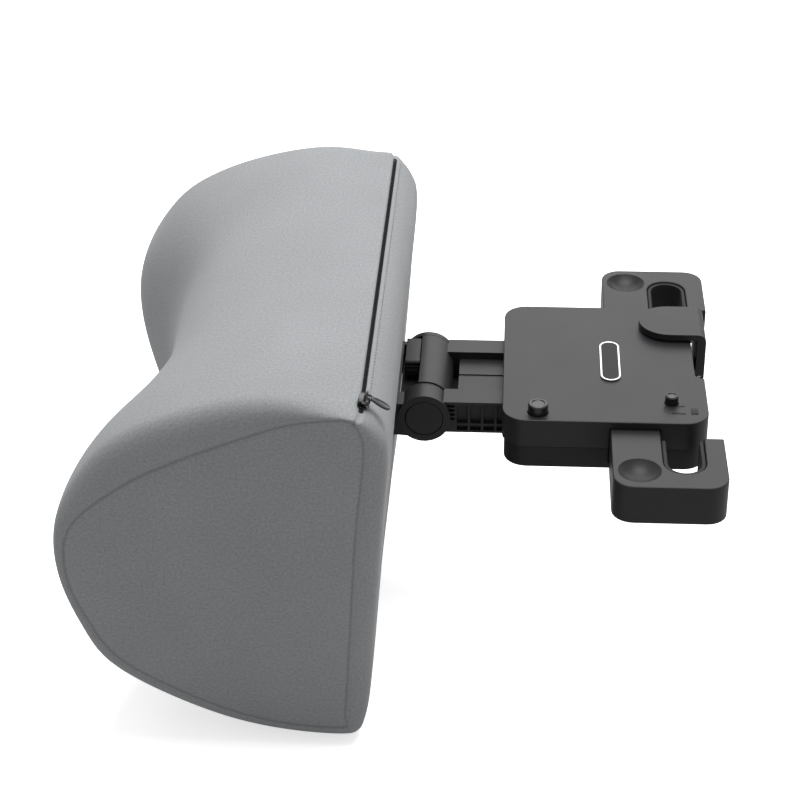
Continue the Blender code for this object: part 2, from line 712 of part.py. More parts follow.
def make_pinion():
    """A spur gear on the housing's post, meshing with both racks."""
    root = PITCH_RADIUS - 1.25 * TOOTH_MODULE
    tip = PITCH_RADIUS + TOOTH_MODULE - RACK_BACKLASH / 2
    points = []
    for k in range(PINION_TEETH):
        middle = 360.0 * k / PINION_TEETH
        share = 360.0 / PINION_TEETH
        for radius, offset in ((root, -0.27), (PITCH_RADIUS, -0.19), (tip, -0.07),
                               (tip, 0.07), (PITCH_RADIUS, 0.19), (root, 0.27)):
            angle = middle + offset * share
            points += arc((PINION_X, 0.0), radius, angle, angle, 1)[:1]
    low = JAW_BOTTOM + SEAT
    gear = prism("pinion", points, low, JAW_BOTTOM + RACK_HEIGHT - SEAT)
    cut_round(gear, "Z", (PINION_X, 0, low), PINION_PIN_RADIUS + SEAT, 4 * RACK_HEIGHT, 16)
    set_origin(gear, (PINION_X, 0, 0))
    return finish(gear, (0.7, 0.7, 0.68), 0.5)


def make_jaws():
    jaws = {}
    for label, side in (("left", -1), ("right", 1)):
        pivot = make_pivot(label + "_jaw_slide", (0, side * SLOT_CENTRE, 0))
        jaw = make_jaw(label + "_jaw", side)
        liner = make_liner(label + "_jaw_liner", side)
        hang(pivot, jaw, liner)
        jaws[label] = jaw
    make_pinion()
    return jaws


# Flip lever on the rear wall

def lever_profile():
    """The lever seen from the side as (x, z): tongue, bend and leg."""
    top = BOX_TOP + LEVER_LIFT + LEVER_THICK
    under = BOX_TOP + LEVER_LIFT
    inner_x = LEVER_REAR - LEVER_LEG
    bend = LEVER_BEND
    points = [(LEVER_TIP_X, under), (LEVER_TIP_X, top)]
    points += arc((LEVER_REAR - bend, top - bend), bend, 90, 0, 6)
    points += arc((LEVER_PIVOT_X, LEVER_PIVOT_Z), LEVER_LEG / 2, 0, -180, 8)
    points += [(inner_x, under)]
    return points


def make_lever():
    near = LEVER_CENTRE_Y - LEVER_WIDTH / 2
    far = LEVER_CENTRE_Y + LEVER_WIDTH / 2
    lever = prism("clamp_lever", lever_profile(), near, far, axis="Y")
    radius = LEVER_WIDTH / 2
    centre = (LEVER_TIP_X + radius, LEVER_CENTRE_Y)
    reach = 2 * LEVER_WIDTH
    outline = arc(centre, radius, 90, 270, 16) + [(reach, near), (reach, far)]
    keep = prism("lever_outline", outline, -reach, reach, collection=CUTTERS)
    boolean(lever, keep, "INTERSECT")
    slot = LEVER_LUG / 2 + RUN
    rise = LEVER_BOSS_RADIUS + RUN
    cut_block(lever, (LEVER_PIVOT_X - 2 * LEVER_LEG, LEVER_CENTRE_Y - slot, LEVER_PIVOT_Z - 2 * rise),
              (LEVER_PIVOT_X + 2 * LEVER_LEG, LEVER_CENTRE_Y + slot, LEVER_PIVOT_Z + rise + RUN))
    pivot_place = (LEVER_PIVOT_X, LEVER_CENTRE_Y, LEVER_PIVOT_Z)
    cut_round(lever, "Y", pivot_place, LEVER_PIN_RADIUS + SEAT, 2 * LEVER_WIDTH, 16)
    apply_modifiers(lever)
    hang(make_pivot("lever_pivot", pivot_place), lever)
    pin = cylinder("lever_pin", "Y", pivot_place, LEVER_PIN_RADIUS, LEVER_WIDTH - 2 * LEVER_PIN_INSET, 16)
    finish(pin, STEEL, 0.3, 1.0)
    return finish(lever, BLACK_PLASTIC, 0.40)


# Push buttons: a round one that frees the arm and a small one that frees the jaws

def spring(name, x, y, low, high):
    """A coil spring standing between two heights."""
    curve = bpy.data.curves.new(name, "CURVE")
    curve.dimensions = "3D"
    curve.bevel_depth = SPRING_WIRE
    curve.bevel_resolution = 1
    curve.use_fill_caps = True
    steps = 10 * SPRING_TURNS
    line = curve.splines.new("POLY")
    line.points.add(steps)
    bottom = low + SPRING_WIRE
    rise = high - low - 2 * SPRING_WIRE
    for i in range(steps + 1):
        angle = 2 * math.pi * SPRING_TURNS * i / steps
        line.points[i].co = (SPRING_RADIUS * math.cos(angle), SPRING_RADIUS * math.sin(angle),
                             bottom + rise * i / steps, 1.0)
    obj = bpy.data.objects.new(name, curve)
    obj.location = (x, y, 0)
    PARTS.objects.link(obj)
    curve.materials.append(make_material(name + "_material", STEEL, 0.3, 1.0))
    return obj


def make_push_button(name, x, y, radius, rise, dish):
    """A round button with a dished top, a collar under the ceiling and a stem down to its spring."""
    top = BOX_TOP + rise
    collar = CEILING - SEAT
    collar_low = collar - COLLAR_HEIGHT
    points = [(0, top - DISH_DEPTH), (dish, top - DISH_DEPTH), (dish + DISH_SLOPE, top),
              (radius - BUTTON_EDGE, top), (radius, top - BUTTON_EDGE), (radius, collar),
              (radius + BUTTON_COLLAR, collar), (radius + BUTTON_COLLAR, collar_low),
              (STEM_RADIUS, collar_low), (STEM_RADIUS, STEM_END), (0, STEM_END)]
    button = turned(name, points, (x, y, 0))
    pivot = make_pivot(name + "_slide", (x, y, BOX_TOP))
    hang(pivot, button)
    spring(name + "_spring", x, y, FLOOR + SEAT, STEM_END - SEAT)
    return finish(button, BLACK_PLASTIC, 0.32)


# Extension arm: a channel with ribbed sides that slides into the housing, with the hinge barrel at its end

def blocks(name, corners):
    """Several separate boxes as one cutter."""
    bm = bmesh.new()
    for low, high in corners:
        size = Vector(high) - Vector(low)
        middle = (Vector(high) + Vector(low)) / 2
        bmesh.ops.create_cube(bm, size=1.0, matrix=Matrix.Translation(middle) @ Matrix.Diagonal((*size, 1.0)))
    return mesh_object(name, bm, CUTTERS)


def side_pockets():
    """Pockets between the ribs of both side walls, above and below the long ledge."""
    corners = []
    start = HINGE_X + HINGE_RADIUS + GAP_BEHIND_BARREL
    ledge = ARM_BOTTOM + ARM_LEDGE
    count = int((ARM_INNER_END - ARM_WEB - start) / ARM_RIB_PITCH)
    for side in (-1, 1):
        inner = side * (ARM_HALF - ARM_SIDE_DEPTH)
        outer = side * (ARM_HALF + CUT_PAST)
        low_y, high_y = min(inner, outer), max(inner, outer)
        for i in range(count):
            x = start + i * ARM_RIB_PITCH
            for low_z, high_z in ((ARM_BOTTOM + ARM_RIB, ledge - ARM_RIB / 2),
                                  (ledge + ARM_RIB / 2, ARM_TOP - ARM_LIP)):
                corners.append(((x, low_y, low_z), (x + ARM_RIB_PITCH - ARM_RIB, high_y, high_z)))
    z = ARM_TOP - ARM_LIP
    while z - ARM_FIN_PITCH > ledge:
        corners.append(((start - ARM_FIN_LENGTH - ARM_RIB, -ARM_HALF - CUT_PAST, z - ARM_FIN_PITCH + ARM_FIN),
                        (start - ARM_RIB, -ARM_HALF + ARM_SIDE_DEPTH, z)))
        z -= ARM_FIN_PITCH
    return corners


def core_pockets():
    """Pockets in the underside, two rows between webs."""
    corners = []
    start = HINGE_X + HINGE_RADIUS + GAP_BEHIND_BARREL + ARM_WEB
    end = ARM_INNER_END - ARM_WEB
    pitch = (end - start + ARM_WEB) / ARM_CORE_COUNT
    reach = ARM_HALF - ARM_SIDE_DEPTH - ARM_WEB
    for i in range(ARM_CORE_COUNT):
        x = start + i * pitch
        for low_y, high_y in ((-reach, -ARM_WEB / 2), (ARM_WEB / 2, reach)):
            corners.append(((x, low_y, ARM_BOTTOM - CUT_PAST),
                            (x + pitch - ARM_WEB, high_y, ARM_BOTTOM + ARM_CORE_DEPTH)))
    return corners


def make_arm():
    arm = block("extension_arm", (HINGE_X + AXLE_RADIUS, -ARM_HALF, ARM_BOTTOM),
                (ARM_INNER_END, ARM_HALF, ARM_TOP))
    channel = ARM_HALF - ARM_RAIL
    past_end = ARM_INNER_END + CUT_PAST
    past_top = ARM_TOP + CUT_PAST
    cut_block(arm, (HINGE_X, -channel, ARM_FLOOR), (past_end, channel, past_top))
    cut_block(arm, (HINGE_X, -channel, ARM_FLOOR - ARM_STEP), (past_end, ARM_STEP_Y, past_top))
    cut_block(arm, (HINGE_X, HINGE_SPLIT + ARM_CHANNEL, ARM_BOTTOM - CUT_PAST),
              (HINGE_X + HINGE_RADIUS + GAP_BEHIND_BARREL, channel, past_top))
    centre = (HINGE_X, 0, HINGE_Z)
    knuckle_reach = 2 * (ARM_HALF + HINGE_SPLIT)
    cut_round(arm, "Y", (HINGE_X, -ARM_HALF, HINGE_Z), KNUCKLE_RADIUS + RUN, knuckle_reach, 48)
    cut_round(arm, "Y", (HINGE_X, ARM_HALF, HINGE_Z), HINGE_RADIUS + RUN, 2 * (ARM_HALF - HINGE_FAR), 48)
    cut(arm, blocks("side_pockets", side_pockets()))
    cut(arm, blocks("core_pockets", core_pockets()))
    barrel = cylinder("hinge_barrel", "Y", (HINGE_X, (HINGE_SPLIT + HINGE_FAR) / 2, HINGE_Z), HINGE_RADIUS,
                      HINGE_FAR - HINGE_SPLIT, 48)
    join(arm, barrel)
    cut_block(arm, (HINGE_X - 2 * HINGE_RADIUS, -ARM_HALF, HINGE_Z),
              (HINGE_X - HINGE_FLAT, ARM_HALF, 2 * ARM_HALF))
    tab_middle_x = HINGE_X - HINGE_FLAT - RUN - TAB_WIDTH / 2
    tab_middle_y = HINGE_FAR - SEAT - TAB_LENGTH / 2
    half_x = TAB_STEM / 2 + SEAT
    half_y = TAB_STEM_LENGTH / 2 + SEAT
    depth = TAB_STEM_DEPTH + TAB_TRAVEL + SEAT
    cut_block(arm, (tab_middle_x - half_x, tab_middle_y - half_y, HINGE_Z - depth),
              (tab_middle_x + half_x, tab_middle_y + half_y, HINGE_Z + CUT_PAST))
    cut_round(arm, "Y", centre, AXLE_RADIUS + SEAT, 4 * ARM_HALF, 24)
    return finish(arm, BLACK_PLASTIC, 0.42)


def make_axle():
    """The steel pin of the tilt hinge."""
    far = ARM_HALF - AXLE_INSET
    near = -ARM_HALF + HINGE_BUTTON_THICK + HINGE_BUTTON_TRAVEL
    axle = cylinder("hinge_axle", "Y", (HINGE_X, (near + far) / 2, HINGE_Z), AXLE_RADIUS, far - near, 24)
    return finish(axle, STEEL, 0.3, 1.0)


def make_tilt_tab():
    """The rectangular tab in front of the barrel that frees the tilt, with ridges on its near end."""
    right = HINGE_X - HINGE_FLAT - RUN
    left = right - TAB_WIDTH
    far = HINGE_FAR - SEAT
    near = far - TAB_LENGTH
    top = HINGE_Z + TAB_TOP
    bottom = top - TAB_BODY
    groove = TAB_GROOVE
    outline = [(far, bottom), (far, top - groove), (far - groove, top), (near + groove, top),
               (near, top - groove)]
    step = TAB_BODY / TAB_STEP_COUNT
    for i in range(1, TAB_STEP_COUNT - 1):
        z = top - groove - i * step
        outline += [(near, z + groove), (near + groove, z + groove), (near + groove, z), (near, z)]
    outline += [(near, bottom)]
    tab = prism("tilt_tab", outline, left, right, axis="X")
    middle = (left + right) / 2
    stem_near = (far + near) / 2 - TAB_STEM_LENGTH / 2
    stem = block("tab_stem", (middle - TAB_STEM / 2, stem_near, HINGE_Z - TAB_STEM_DEPTH),
                 (middle + TAB_STEM / 2, stem_near + TAB_STEM_LENGTH, bottom + JOIN_LAP))
    join(tab, stem)
    pivot = make_pivot("tilt_tab_slide", (middle, (far + near) / 2, bottom))
    hang(pivot, tab)
    return finish(tab, BLACK_PLASTIC, 0.38)


# Bracket on the pillow, modelled in the pillow's own frame: the hinge axis is its Y axis

def hang_local(pivot, obj):
    """Parents an object modelled in the pivot's frame, with the cutters that its modifiers use."""
    obj.parent = pivot
    for modifier in obj.modifiers:
        modifier.object.parent = pivot
    return obj


def board_levels():
    """Distances in front of the hinge axis of the board's outer face and of the flange's two faces."""
    board = PILLOW_BACK + COVER_CLOTH + 2 * SEAT
    flange = board + BOARD_WALL + SEAT
    return board, flange, flange + FLANGE_WALL


def board_screw_places():
    high = (FLANGE_UP + BRIDGE_TOP) / 2
    low = -(FLANGE_DOWN - BRIDGE_BOTTOM) / 2
    return [(side * BOARD_SCREW_Y, z) for side in (-1, 1) for z in (high, low)]


def make_knuckle(pivot):
    near_inner = HINGE_SPLIT - SEAT
    board, flange, flange_inner = board_levels()
    root = -flange - FLANGE_WALL / 2
    flange_near = KNUCKLE_FACE + KNUCKLE_FLANGE / 2
    knuckle = cylinder("pillow_knuckle", "Y", (0, (near_inner + flange_near) / 2, 0), KNUCKLE_RADIUS,
                       near_inner - flange_near, 48)
    join(knuckle, cylinder("knuckle_flange", "Y", (0, flange_near, 0), HINGE_RADIUS, KNUCKLE_FLANGE, 48))
    lug_middle = (0, (LUG_NEAR + LUG_FAR) / 2, 0)
    join(knuckle, cylinder("far_lug", "Y", lug_middle, HINGE_RADIUS, LUG_FAR - LUG_NEAR, 48))
    join(knuckle, block("near_cheek", (root, -ARM_HALF, BRIDGE_BOTTOM), (0, near_inner, BRIDGE_TOP)))
    join(knuckle, block("far_cheek", (root, LUG_NEAR, BRIDGE_BOTTOM), (0, LUG_FAR, BRIDGE_TOP)))
    join(knuckle, block("bridge", (root, -ARM_HALF, BRIDGE_BOTTOM), (-BRIDGE_FACE, LUG_FAR, BRIDGE_TOP)))
    join(knuckle, block("flange", (-flange_inner, -FLANGE_HALF, -FLANGE_DOWN),
                        (-flange, FLANGE_HALF, FLANGE_UP)))
    for y, z in board_screw_places():
        cut_round(knuckle, "X", (-flange, y, z), BOARD_SCREW_RADIUS + SEAT, 4 * FLANGE_WALL, 12)
    pocket = HINGE_BUTTON_THICK + HINGE_BUTTON_TRAVEL + SEAT
    cut_round(knuckle, "Y", (0, KNUCKLE_FACE, 0), HINGE_BUTTON_RADIUS + SEAT, 2 * pocket, 40)
    cut_round(knuckle, "Y", (0, 0, 0), AXLE_RADIUS + SEAT, 4 * ARM_HALF, 24)
    hang_local(pivot, knuckle)
    return finish(knuckle, BLACK_PLASTIC, 0.42)


def make_hinge_button(pivot):
    """The disc in the near end of the hinge, flush with its flange."""
    button = cylinder("hinge_button", "Y", (0, KNUCKLE_FACE + HINGE_BUTTON_THICK / 2, 0), HINGE_BUTTON_RADIUS,
                      HINGE_BUTTON_THICK, 40)
    slide = make_pivot("hinge_button_slide", (0, 0, 0), parent=pivot)
    button.parent = slide
    return finish(button, BLACK_PLASTIC, 0.5)


def make_board(pivot):
    """The stiff board in the pillow's back, screwed to the bracket's flange."""
    level = board_levels()[0]
    board = block("back_board", (-level - BOARD_WALL, -BOARD_HALF, -BOARD_DOWN),
                  (-level, BOARD_HALF, BOARD_UP))
    cut_block(board, (-2 * level, -ARM_HALF - SEAT, BRIDGE_BOTTOM - SEAT),
              (0, LUG_FAR + SEAT, BRIDGE_TOP + SEAT))
    for y, z in board_screw_places():
        cut_round(board, "X", (-level, y, z), BOARD_SCREW_RADIUS + SEAT, 4 * BOARD_WALL, 12)
    hang_local(pivot, board)
    return finish(board, (0.05, 0.05, 0.05), 0.6, smooth=False)


def make_board_screws(pivot):
    """Four screws from inside the pillow, through the flange into the board."""
    board, flange, flange_inner = board_levels()
    start = -flange_inner - SEAT
    for i, (y, z) in enumerate(board_screw_places()):
        end = start - SCREW_HEAD_HEIGHT
        points = [(0, -board), (BOARD_SCREW_RADIUS, -board), (BOARD_SCREW_RADIUS, start),
                  (BOARD_SCREW_HEAD, start), (BOARD_SCREW_HEAD, end), (0, end)]
        screw = turned(f"board_screw_{i + 1}", points, (0, y, z), 12)
        screw.data.transform(AXIS_TURN["X"])
        screw.parent = pivot
        finish(screw, STEEL, 0.4, 1.0)


# Pillow: lofted through the waist, lobe and end seam sections

def smooth_ring(anchors):
    """Points on a closed Catmull-Rom curve through the anchors, the same number to each span."""
    spans = len(anchors)
    each = RING_STEP_COUNT
    points = []
    for i in range(spans):
        p0, p1, p2, p3 = (Vector(anchors[(i + k - 1) % spans]) for k in range(4))
        for j in range(each):
            t = j / each
            points.append(0.5 * (2 * p1 + (p2 - p0) * t + (2 * p0 - 5 * p1 + 4 * p2 - p3) * t * t
                                 + (3 * p1 - p0 - 3 * p2 + p3) * t * t * t))
    return points


def pillow_section(y):
    """The outline at a distance y from the middle, as points (x, z) in the pillow's frame."""
    waist, lobe, seam = (smooth_ring(anchors) for anchors in (WAIST, LOBE, SEAM))
    reach = min(abs(y) / LOBE_Y, 1.0)
    to_lobe = 0.5 - 0.5 * math.cos(math.pi * reach ** LOBE_SPREAD)
    over = max(0.0, (abs(y) - LOBE_Y) / (END_SEAM - LOBE_Y))
    to_seam = 1.0 - math.sqrt(max(0.0, 1.0 - over * over))
    points = []
    for a, b, c in zip(waist, lobe, seam):
        p = a.lerp(b, to_lobe).lerp(c, to_seam)
        points.append((-PILLOW_BACK - p[0] * PILLOW_DEPTH, p[1] * PILLOW_HEIGHT))
    return points


def pillow_stations():
    inside = [0.0, 0.22, 0.42, 0.60, 0.76, 0.90, 1.0]
    outside = [0.4, 0.7, 0.9, 1.0]
    half = [LOBE_Y * share for share in inside]
    half += [LOBE_Y + (END_SEAM - LOBE_Y) * share for share in outside]
    return [-y for y in half[:0:-1]] + half


def drawn_in(outline, inset):
    """A closed outline moved inwards along its own normals."""
    count = len(outline)
    points = []
    for i, (x, z) in enumerate(outline):
        before = Vector(outline[i - 1])
        after = Vector(outline[(i + 1) % count])
        along = (after - before).normalized()
        points.append((x - along[1] * inset, z + along[0] * inset))
    return points


def pillow_form(name, inset):
    """The pillow's closed outer form, drawn in by an inset."""
    bm = bmesh.new()
    rings = []
    for y in pillow_stations():
        level = y * (1.0 - inset / END_SEAM)
        rings.append([bm.verts.new((x, level, z)) for x, z in drawn_in(pillow_section(y), inset)])
    for end in (0, -1):
        ring = rings[end]
        centre = sum((vert.co for vert in ring), Vector()) / len(ring)
        side = -1 if end == 0 else 1
        caps = [ring]
        for share, rise in ((0.78, 0.55), (0.40, 0.95)):
            lift = Vector((0, side * rise * END_BULGE, 0))
            caps.append([bm.verts.new(centre + (vert.co - centre) * share + lift) for vert in ring])
        tip = bm.verts.new(centre + Vector((0, side * END_BULGE, 0)))
        for first, second in zip(caps, caps[1:]):
            skin_between(bm, first, second)
        for i in range(len(ring)):
            bm.faces.new((caps[-1][i], caps[-1][(i + 1) % len(ring)], tip))
    for first, second in zip(rings, rings[1:]):
        skin_between(bm, first, second)
    return mesh_object(name, bm, PARTS)


def skin_between(bm, first, second):
    """Closes the strip between two rings, each quad split the same way so that nested forms stay apart."""
    count = len(first)
    for i in range(count):
        j = (i + 1) % count
        bm.faces.new((first[i], first[j], second[j]))
        bm.faces.new((first[i], second[j], second[i]))


def make_pillow(pivot):
    cover = pillow_form("pillow_cover", 0.0)
    cut(cover, pillow_form("cover_inside", COVER_CLOTH))
    cut_block(cover, (-PILLOW_BACK - 4 * COVER_CLOTH, SLIT_NEAR, SLIT_BOTTOM), (0, SLIT_FAR, SLIT_TOP))
    core = pillow_form("foam_core", COVER_CLOTH + SEAT)
    board, flange, flange_inner = board_levels()
    cut_block(core, (-board - BOARD_WALL - SEAT, -BOARD_HALF - SEAT, -BOARD_DOWN - SEAT),
              (0, BOARD_HALF + SEAT, BOARD_UP + SEAT))
    cut_block(core, (-flange_inner - FLANGE_WALL, -FLANGE_HALF - SEAT, -FLANGE_DOWN - SEAT),
              (0, FLANGE_HALF + SEAT, FLANGE_UP + SEAT))
    hang_local(pivot, cover)
    hang_local(pivot, core)
    finish(core, (0.75, 0.72, 0.62), 0.9)
    return finish(cover, GREY_CLOTH, 0.9)


# Zip along the straight upper back edge

def zip_frame():
    """A frame on the cover where the zip lies: X across the tape, Y along the zip, Z out of the cover."""
    ring = [Vector((x, 0, z)) for x, z in pillow_section(0.0)]
    level = -PILLOW_BACK - ZIP_FROM_BACK
    here = min(range(1, len(ring) // 2), key=lambda i: abs(ring[i].x - level))
    across = (ring[here - 1] - ring[here + 1]).normalized()
    along = Vector((0, 1, 0))
    out = across.cross(along).normalized()
    frame = Matrix((across, along, out)).transposed().to_4x4()
    frame.translation = ring[here] + out * SEAT
    return frame


def make_zip(pivot):
    frame = zip_frame()
    tape = block("zip_tape", (-ZIP_WIDTH / 2, -ZIP_HALF, 0), (ZIP_WIDTH / 2, ZIP_HALF, ZIP_THICK))
    reach = ZIP_HALF - ZIP_TEETH_END
    crest = ZIP_THICK + ZIP_TEETH_RISE
    join(tape, block("zip_teeth", (-ZIP_TEETH, -reach, ZIP_THICK / 2), (ZIP_TEETH, reach, crest)))
    apply_modifiers(tape)
    tape.data.transform(frame)
    hang_local(pivot, tape)
    finish(tape, (0.03, 0.03, 0.03), 0.7)
    seat = crest + SEAT
    top = seat + SLIDER_THICK
    slider_y = -ZIP_HALF + SLIDER_FROM_END
    slider = block("zip_slider", (-SLIDER_WIDTH / 2, -SLIDER_LENGTH / 2, seat),
                   (SLIDER_WIDTH / 2, SLIDER_LENGTH / 2, top))
    eye = top + 2 * PULLER_PIN + 2 * SEAT
    join(slider, cylinder("slider_eye", "Y", (0, 0, eye), 3 * PULLER_PIN, 2 * SLIDER_LUG, 16))
    join(slider, block("slider_lug", (-2 * PULLER_PIN, -SLIDER_LUG, top - SLIDER_LUG),
                       (2 * PULLER_PIN, SLIDER_LUG, eye)))
    cut_round(slider, "Y", (0, 0, eye), PULLER_PIN + SEAT, 8 * SLIDER_LUG, 12)
    apply_modifiers(slider)
    here = frame @ Matrix.Translation((0, slider_y, 0))
    slide = make_pivot("zip_slide", here.translation, parent=pivot)
    turn = frame.to_3x3().to_4x4()
    slider.data.transform(turn)
    slider.parent = slide
    finish(slider, (0.04, 0.04, 0.04), 0.3, 0.9)
    make_puller(slide, turn, eye)
    return tape


def make_puller(slide, turn, eye):
    """A leaf-shaped puller on a pin through the slider's eye, hanging back over the cover's edge."""
    cheek_near = SLIDER_LUG + SEAT
    half = PULLER_WIDTH / 2
    start = 4 * PULLER_PIN
    back = -2 * PULLER_PIN
    outline = arc((PULLER_LENGTH - half, 0.0), half, -90, 90, 10) + [(back, half), (back, -half)]
    puller = prism("zip_puller", outline, -PULLER_THICK / 2, PULLER_THICK / 2)
    cut_block(puller, (2 * back, -cheek_near, -PULLER_THICK), (start, cheek_near, PULLER_THICK))
    join(puller, cylinder("puller_pin", "Y", (0, 0, 0), PULLER_PIN, 2 * (half - PULLER_PIN_INSET), 12))
    apply_modifiers(puller)
    hook = make_pivot("puller_pivot", turn @ Vector((0, 0, eye)), (0, PULLER_HANG, 0), parent=slide)
    puller.parent = hook
    return finish(puller, (0.04, 0.04, 0.04), 0.35, 0.6)


def build():
    make_top_cover()
    make_bottom_cover()
    make_cover_screws()
    make_badge()
    make_jaws()
    make_lever()
    make_push_button("arm_button", BUTTON_X, BUTTON_Y, BUTTON_RADIUS, BUTTON_RISE, BUTTON_DISH)
    make_push_button("jaw_button", PIN_X, PIN_Y, PIN_RADIUS, PIN_RISE, PIN_DISH)
    make_arm()
    make_axle()
    make_tilt_tab()
    tilt = make_pivot("tilt_pivot", (HINGE_X, 0, HINGE_Z), (0, REST_LEAN, 0))
    make_knuckle(tilt)
    make_hinge_button(tilt)
    make_board(tilt)
    make_board_screws(tilt)
    make_pillow(tilt)
    make_zip(tilt)


build()
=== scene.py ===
# Car neck pillow on a bracket that clamps to a seat's headrest posts: its finishes, its cover and its light.

import json
import math

import bmesh
import bpy
from mathutils import Matrix, Vector, noise


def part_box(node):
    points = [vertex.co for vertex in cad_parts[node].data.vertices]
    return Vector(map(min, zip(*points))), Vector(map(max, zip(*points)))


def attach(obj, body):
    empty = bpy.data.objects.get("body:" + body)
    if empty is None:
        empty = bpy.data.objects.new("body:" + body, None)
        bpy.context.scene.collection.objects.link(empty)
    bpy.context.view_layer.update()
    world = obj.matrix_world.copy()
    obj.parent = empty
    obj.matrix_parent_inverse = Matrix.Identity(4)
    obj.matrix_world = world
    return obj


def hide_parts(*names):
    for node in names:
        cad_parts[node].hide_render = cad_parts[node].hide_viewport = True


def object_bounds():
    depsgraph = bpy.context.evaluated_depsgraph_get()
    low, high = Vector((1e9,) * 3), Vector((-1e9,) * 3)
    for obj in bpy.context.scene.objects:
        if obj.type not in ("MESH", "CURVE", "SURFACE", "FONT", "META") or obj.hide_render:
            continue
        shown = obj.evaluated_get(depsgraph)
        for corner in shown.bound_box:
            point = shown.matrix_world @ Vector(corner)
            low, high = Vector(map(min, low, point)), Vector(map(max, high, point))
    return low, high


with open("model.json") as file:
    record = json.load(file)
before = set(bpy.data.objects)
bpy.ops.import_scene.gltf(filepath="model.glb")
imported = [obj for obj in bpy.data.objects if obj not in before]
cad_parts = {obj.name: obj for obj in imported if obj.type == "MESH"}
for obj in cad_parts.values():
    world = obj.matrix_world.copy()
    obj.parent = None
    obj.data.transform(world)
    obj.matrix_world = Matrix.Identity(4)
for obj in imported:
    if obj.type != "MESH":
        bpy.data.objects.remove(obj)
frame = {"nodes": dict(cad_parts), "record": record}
cad_low, cad_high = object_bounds()
MM = 0.001


# Camera: a long lens from the near side of the seat, looking down on the bracket and along the pillow's end.
# The pillow's back edge stands a little off upright in the picture, so the camera has a slight roll.

LENS_MM = 94.95
CAMERA_PLACE = Vector((-0.08318, -0.92473, 0.54621))
CAMERA_RIGHT = Vector((0.99843, 0.05542, -0.00780))
CAMERA_UP = Vector((-0.02189, 0.51500, 0.85691))
SENSOR_MM = 36.0
FAR_CLIP = 20.0

camera_data = bpy.data.cameras.new("camera")
camera_data.lens = LENS_MM
camera_data.sensor_width = SENSOR_MM
camera_data.clip_end = FAR_CLIP
camera = bpy.data.objects.new("camera", camera_data)
bpy.context.scene.collection.objects.link(camera)
camera_back = CAMERA_RIGHT.cross(CAMERA_UP)
camera.matrix_world = Matrix.LocRotScale(
    CAMERA_PLACE, Matrix((CAMERA_RIGHT, CAMERA_UP, camera_back)).transposed().to_quaternion(), None)
bpy.context.scene.camera = camera
bpy.context.scene.view_settings.view_transform = "Standard"


# Floor and air: a white studio sweep. The floor takes the object's soft shadow, and what the lens
# and the glossy faces see of it and of the air beyond is white.

FLOOR_SIDE = 6.0
FLOOR_GAP = 0.2 * MM
FLOOR_GLOW = 0.63
AIR_LIGHT = 0.38
AIR_WHITE = 1.0


def linear(hex_colour):
    """A colour written as sRGB hex, as linear values with full alpha."""
    values = []
    for i in (1, 3, 5):
        c = int(hex_colour[i:i + 2], 16) / 255
        values.append(c / 12.92 if c <= 0.04045 else ((c + 0.055) / 1.055) ** 2.4)
    return (*values, 1.0)


def add_node(tree, kind, values=None, links=None, **settings):
    """Adds a shader node with its settings, its sockets' values and the links into them."""
    node = tree.nodes.new(kind)
    for key, value in settings.items():
        setattr(node, key, value)
    for key, value in (values or {}).items():
        node.inputs[key].default_value = value
    for key, source in (links or {}).items():
        tree.links.new(source, node.inputs[key])
    return node


def new_material(name):
    """An empty material and its node tree."""
    material = bpy.data.materials.new(name)
    material.use_nodes = True
    material.node_tree.nodes.clear()
    return material, material.node_tree


floor_paint, tree = new_material("studio_sweep_matt_paint")
seen = add_node(tree, "ShaderNodeLightPath")
seen_through = add_node(tree, "ShaderNodeMath", operation="MAXIMUM",
                        links={0: seen.outputs["Is Camera Ray"], 1: seen.outputs["Is Transmission Ray"]})
lit_paint = add_node(tree, "ShaderNodeBsdfDiffuse", {"Color": linear("#d2d2d2")})
seen_paint = add_node(tree, "ShaderNodeBsdfDiffuse", {"Color": linear("#ffffff")})
glow = add_node(tree, "ShaderNodeEmission", {"Color": linear("#ffffff"), "Strength": FLOOR_GLOW})
seen_floor = add_node(tree, "ShaderNodeAddShader", links={0: seen_paint.outputs[0], 1: glow.outputs[0]})
both = add_node(tree, "ShaderNodeMixShader",
                links={0: seen_through.outputs[0], 1: lit_paint.outputs[0], 2: seen_floor.outputs[0]})
add_node(tree, "ShaderNodeOutputMaterial", links={"Surface": both.outputs[0]})

bm = bmesh.new()
bmesh.ops.create_grid(bm, x_segments=2, y_segments=2, size=FLOOR_SIDE / 2,
                      matrix=Matrix.Translation((0, 0, cad_low.z - FLOOR_GAP)))
floor_mesh = bpy.data.meshes.new("floor")
bm.to_mesh(floor_mesh)
bm.free()
floor_mesh.materials.append(floor_paint)
floor = bpy.data.objects.new("floor", floor_mesh)
bpy.context.scene.collection.objects.link(floor)

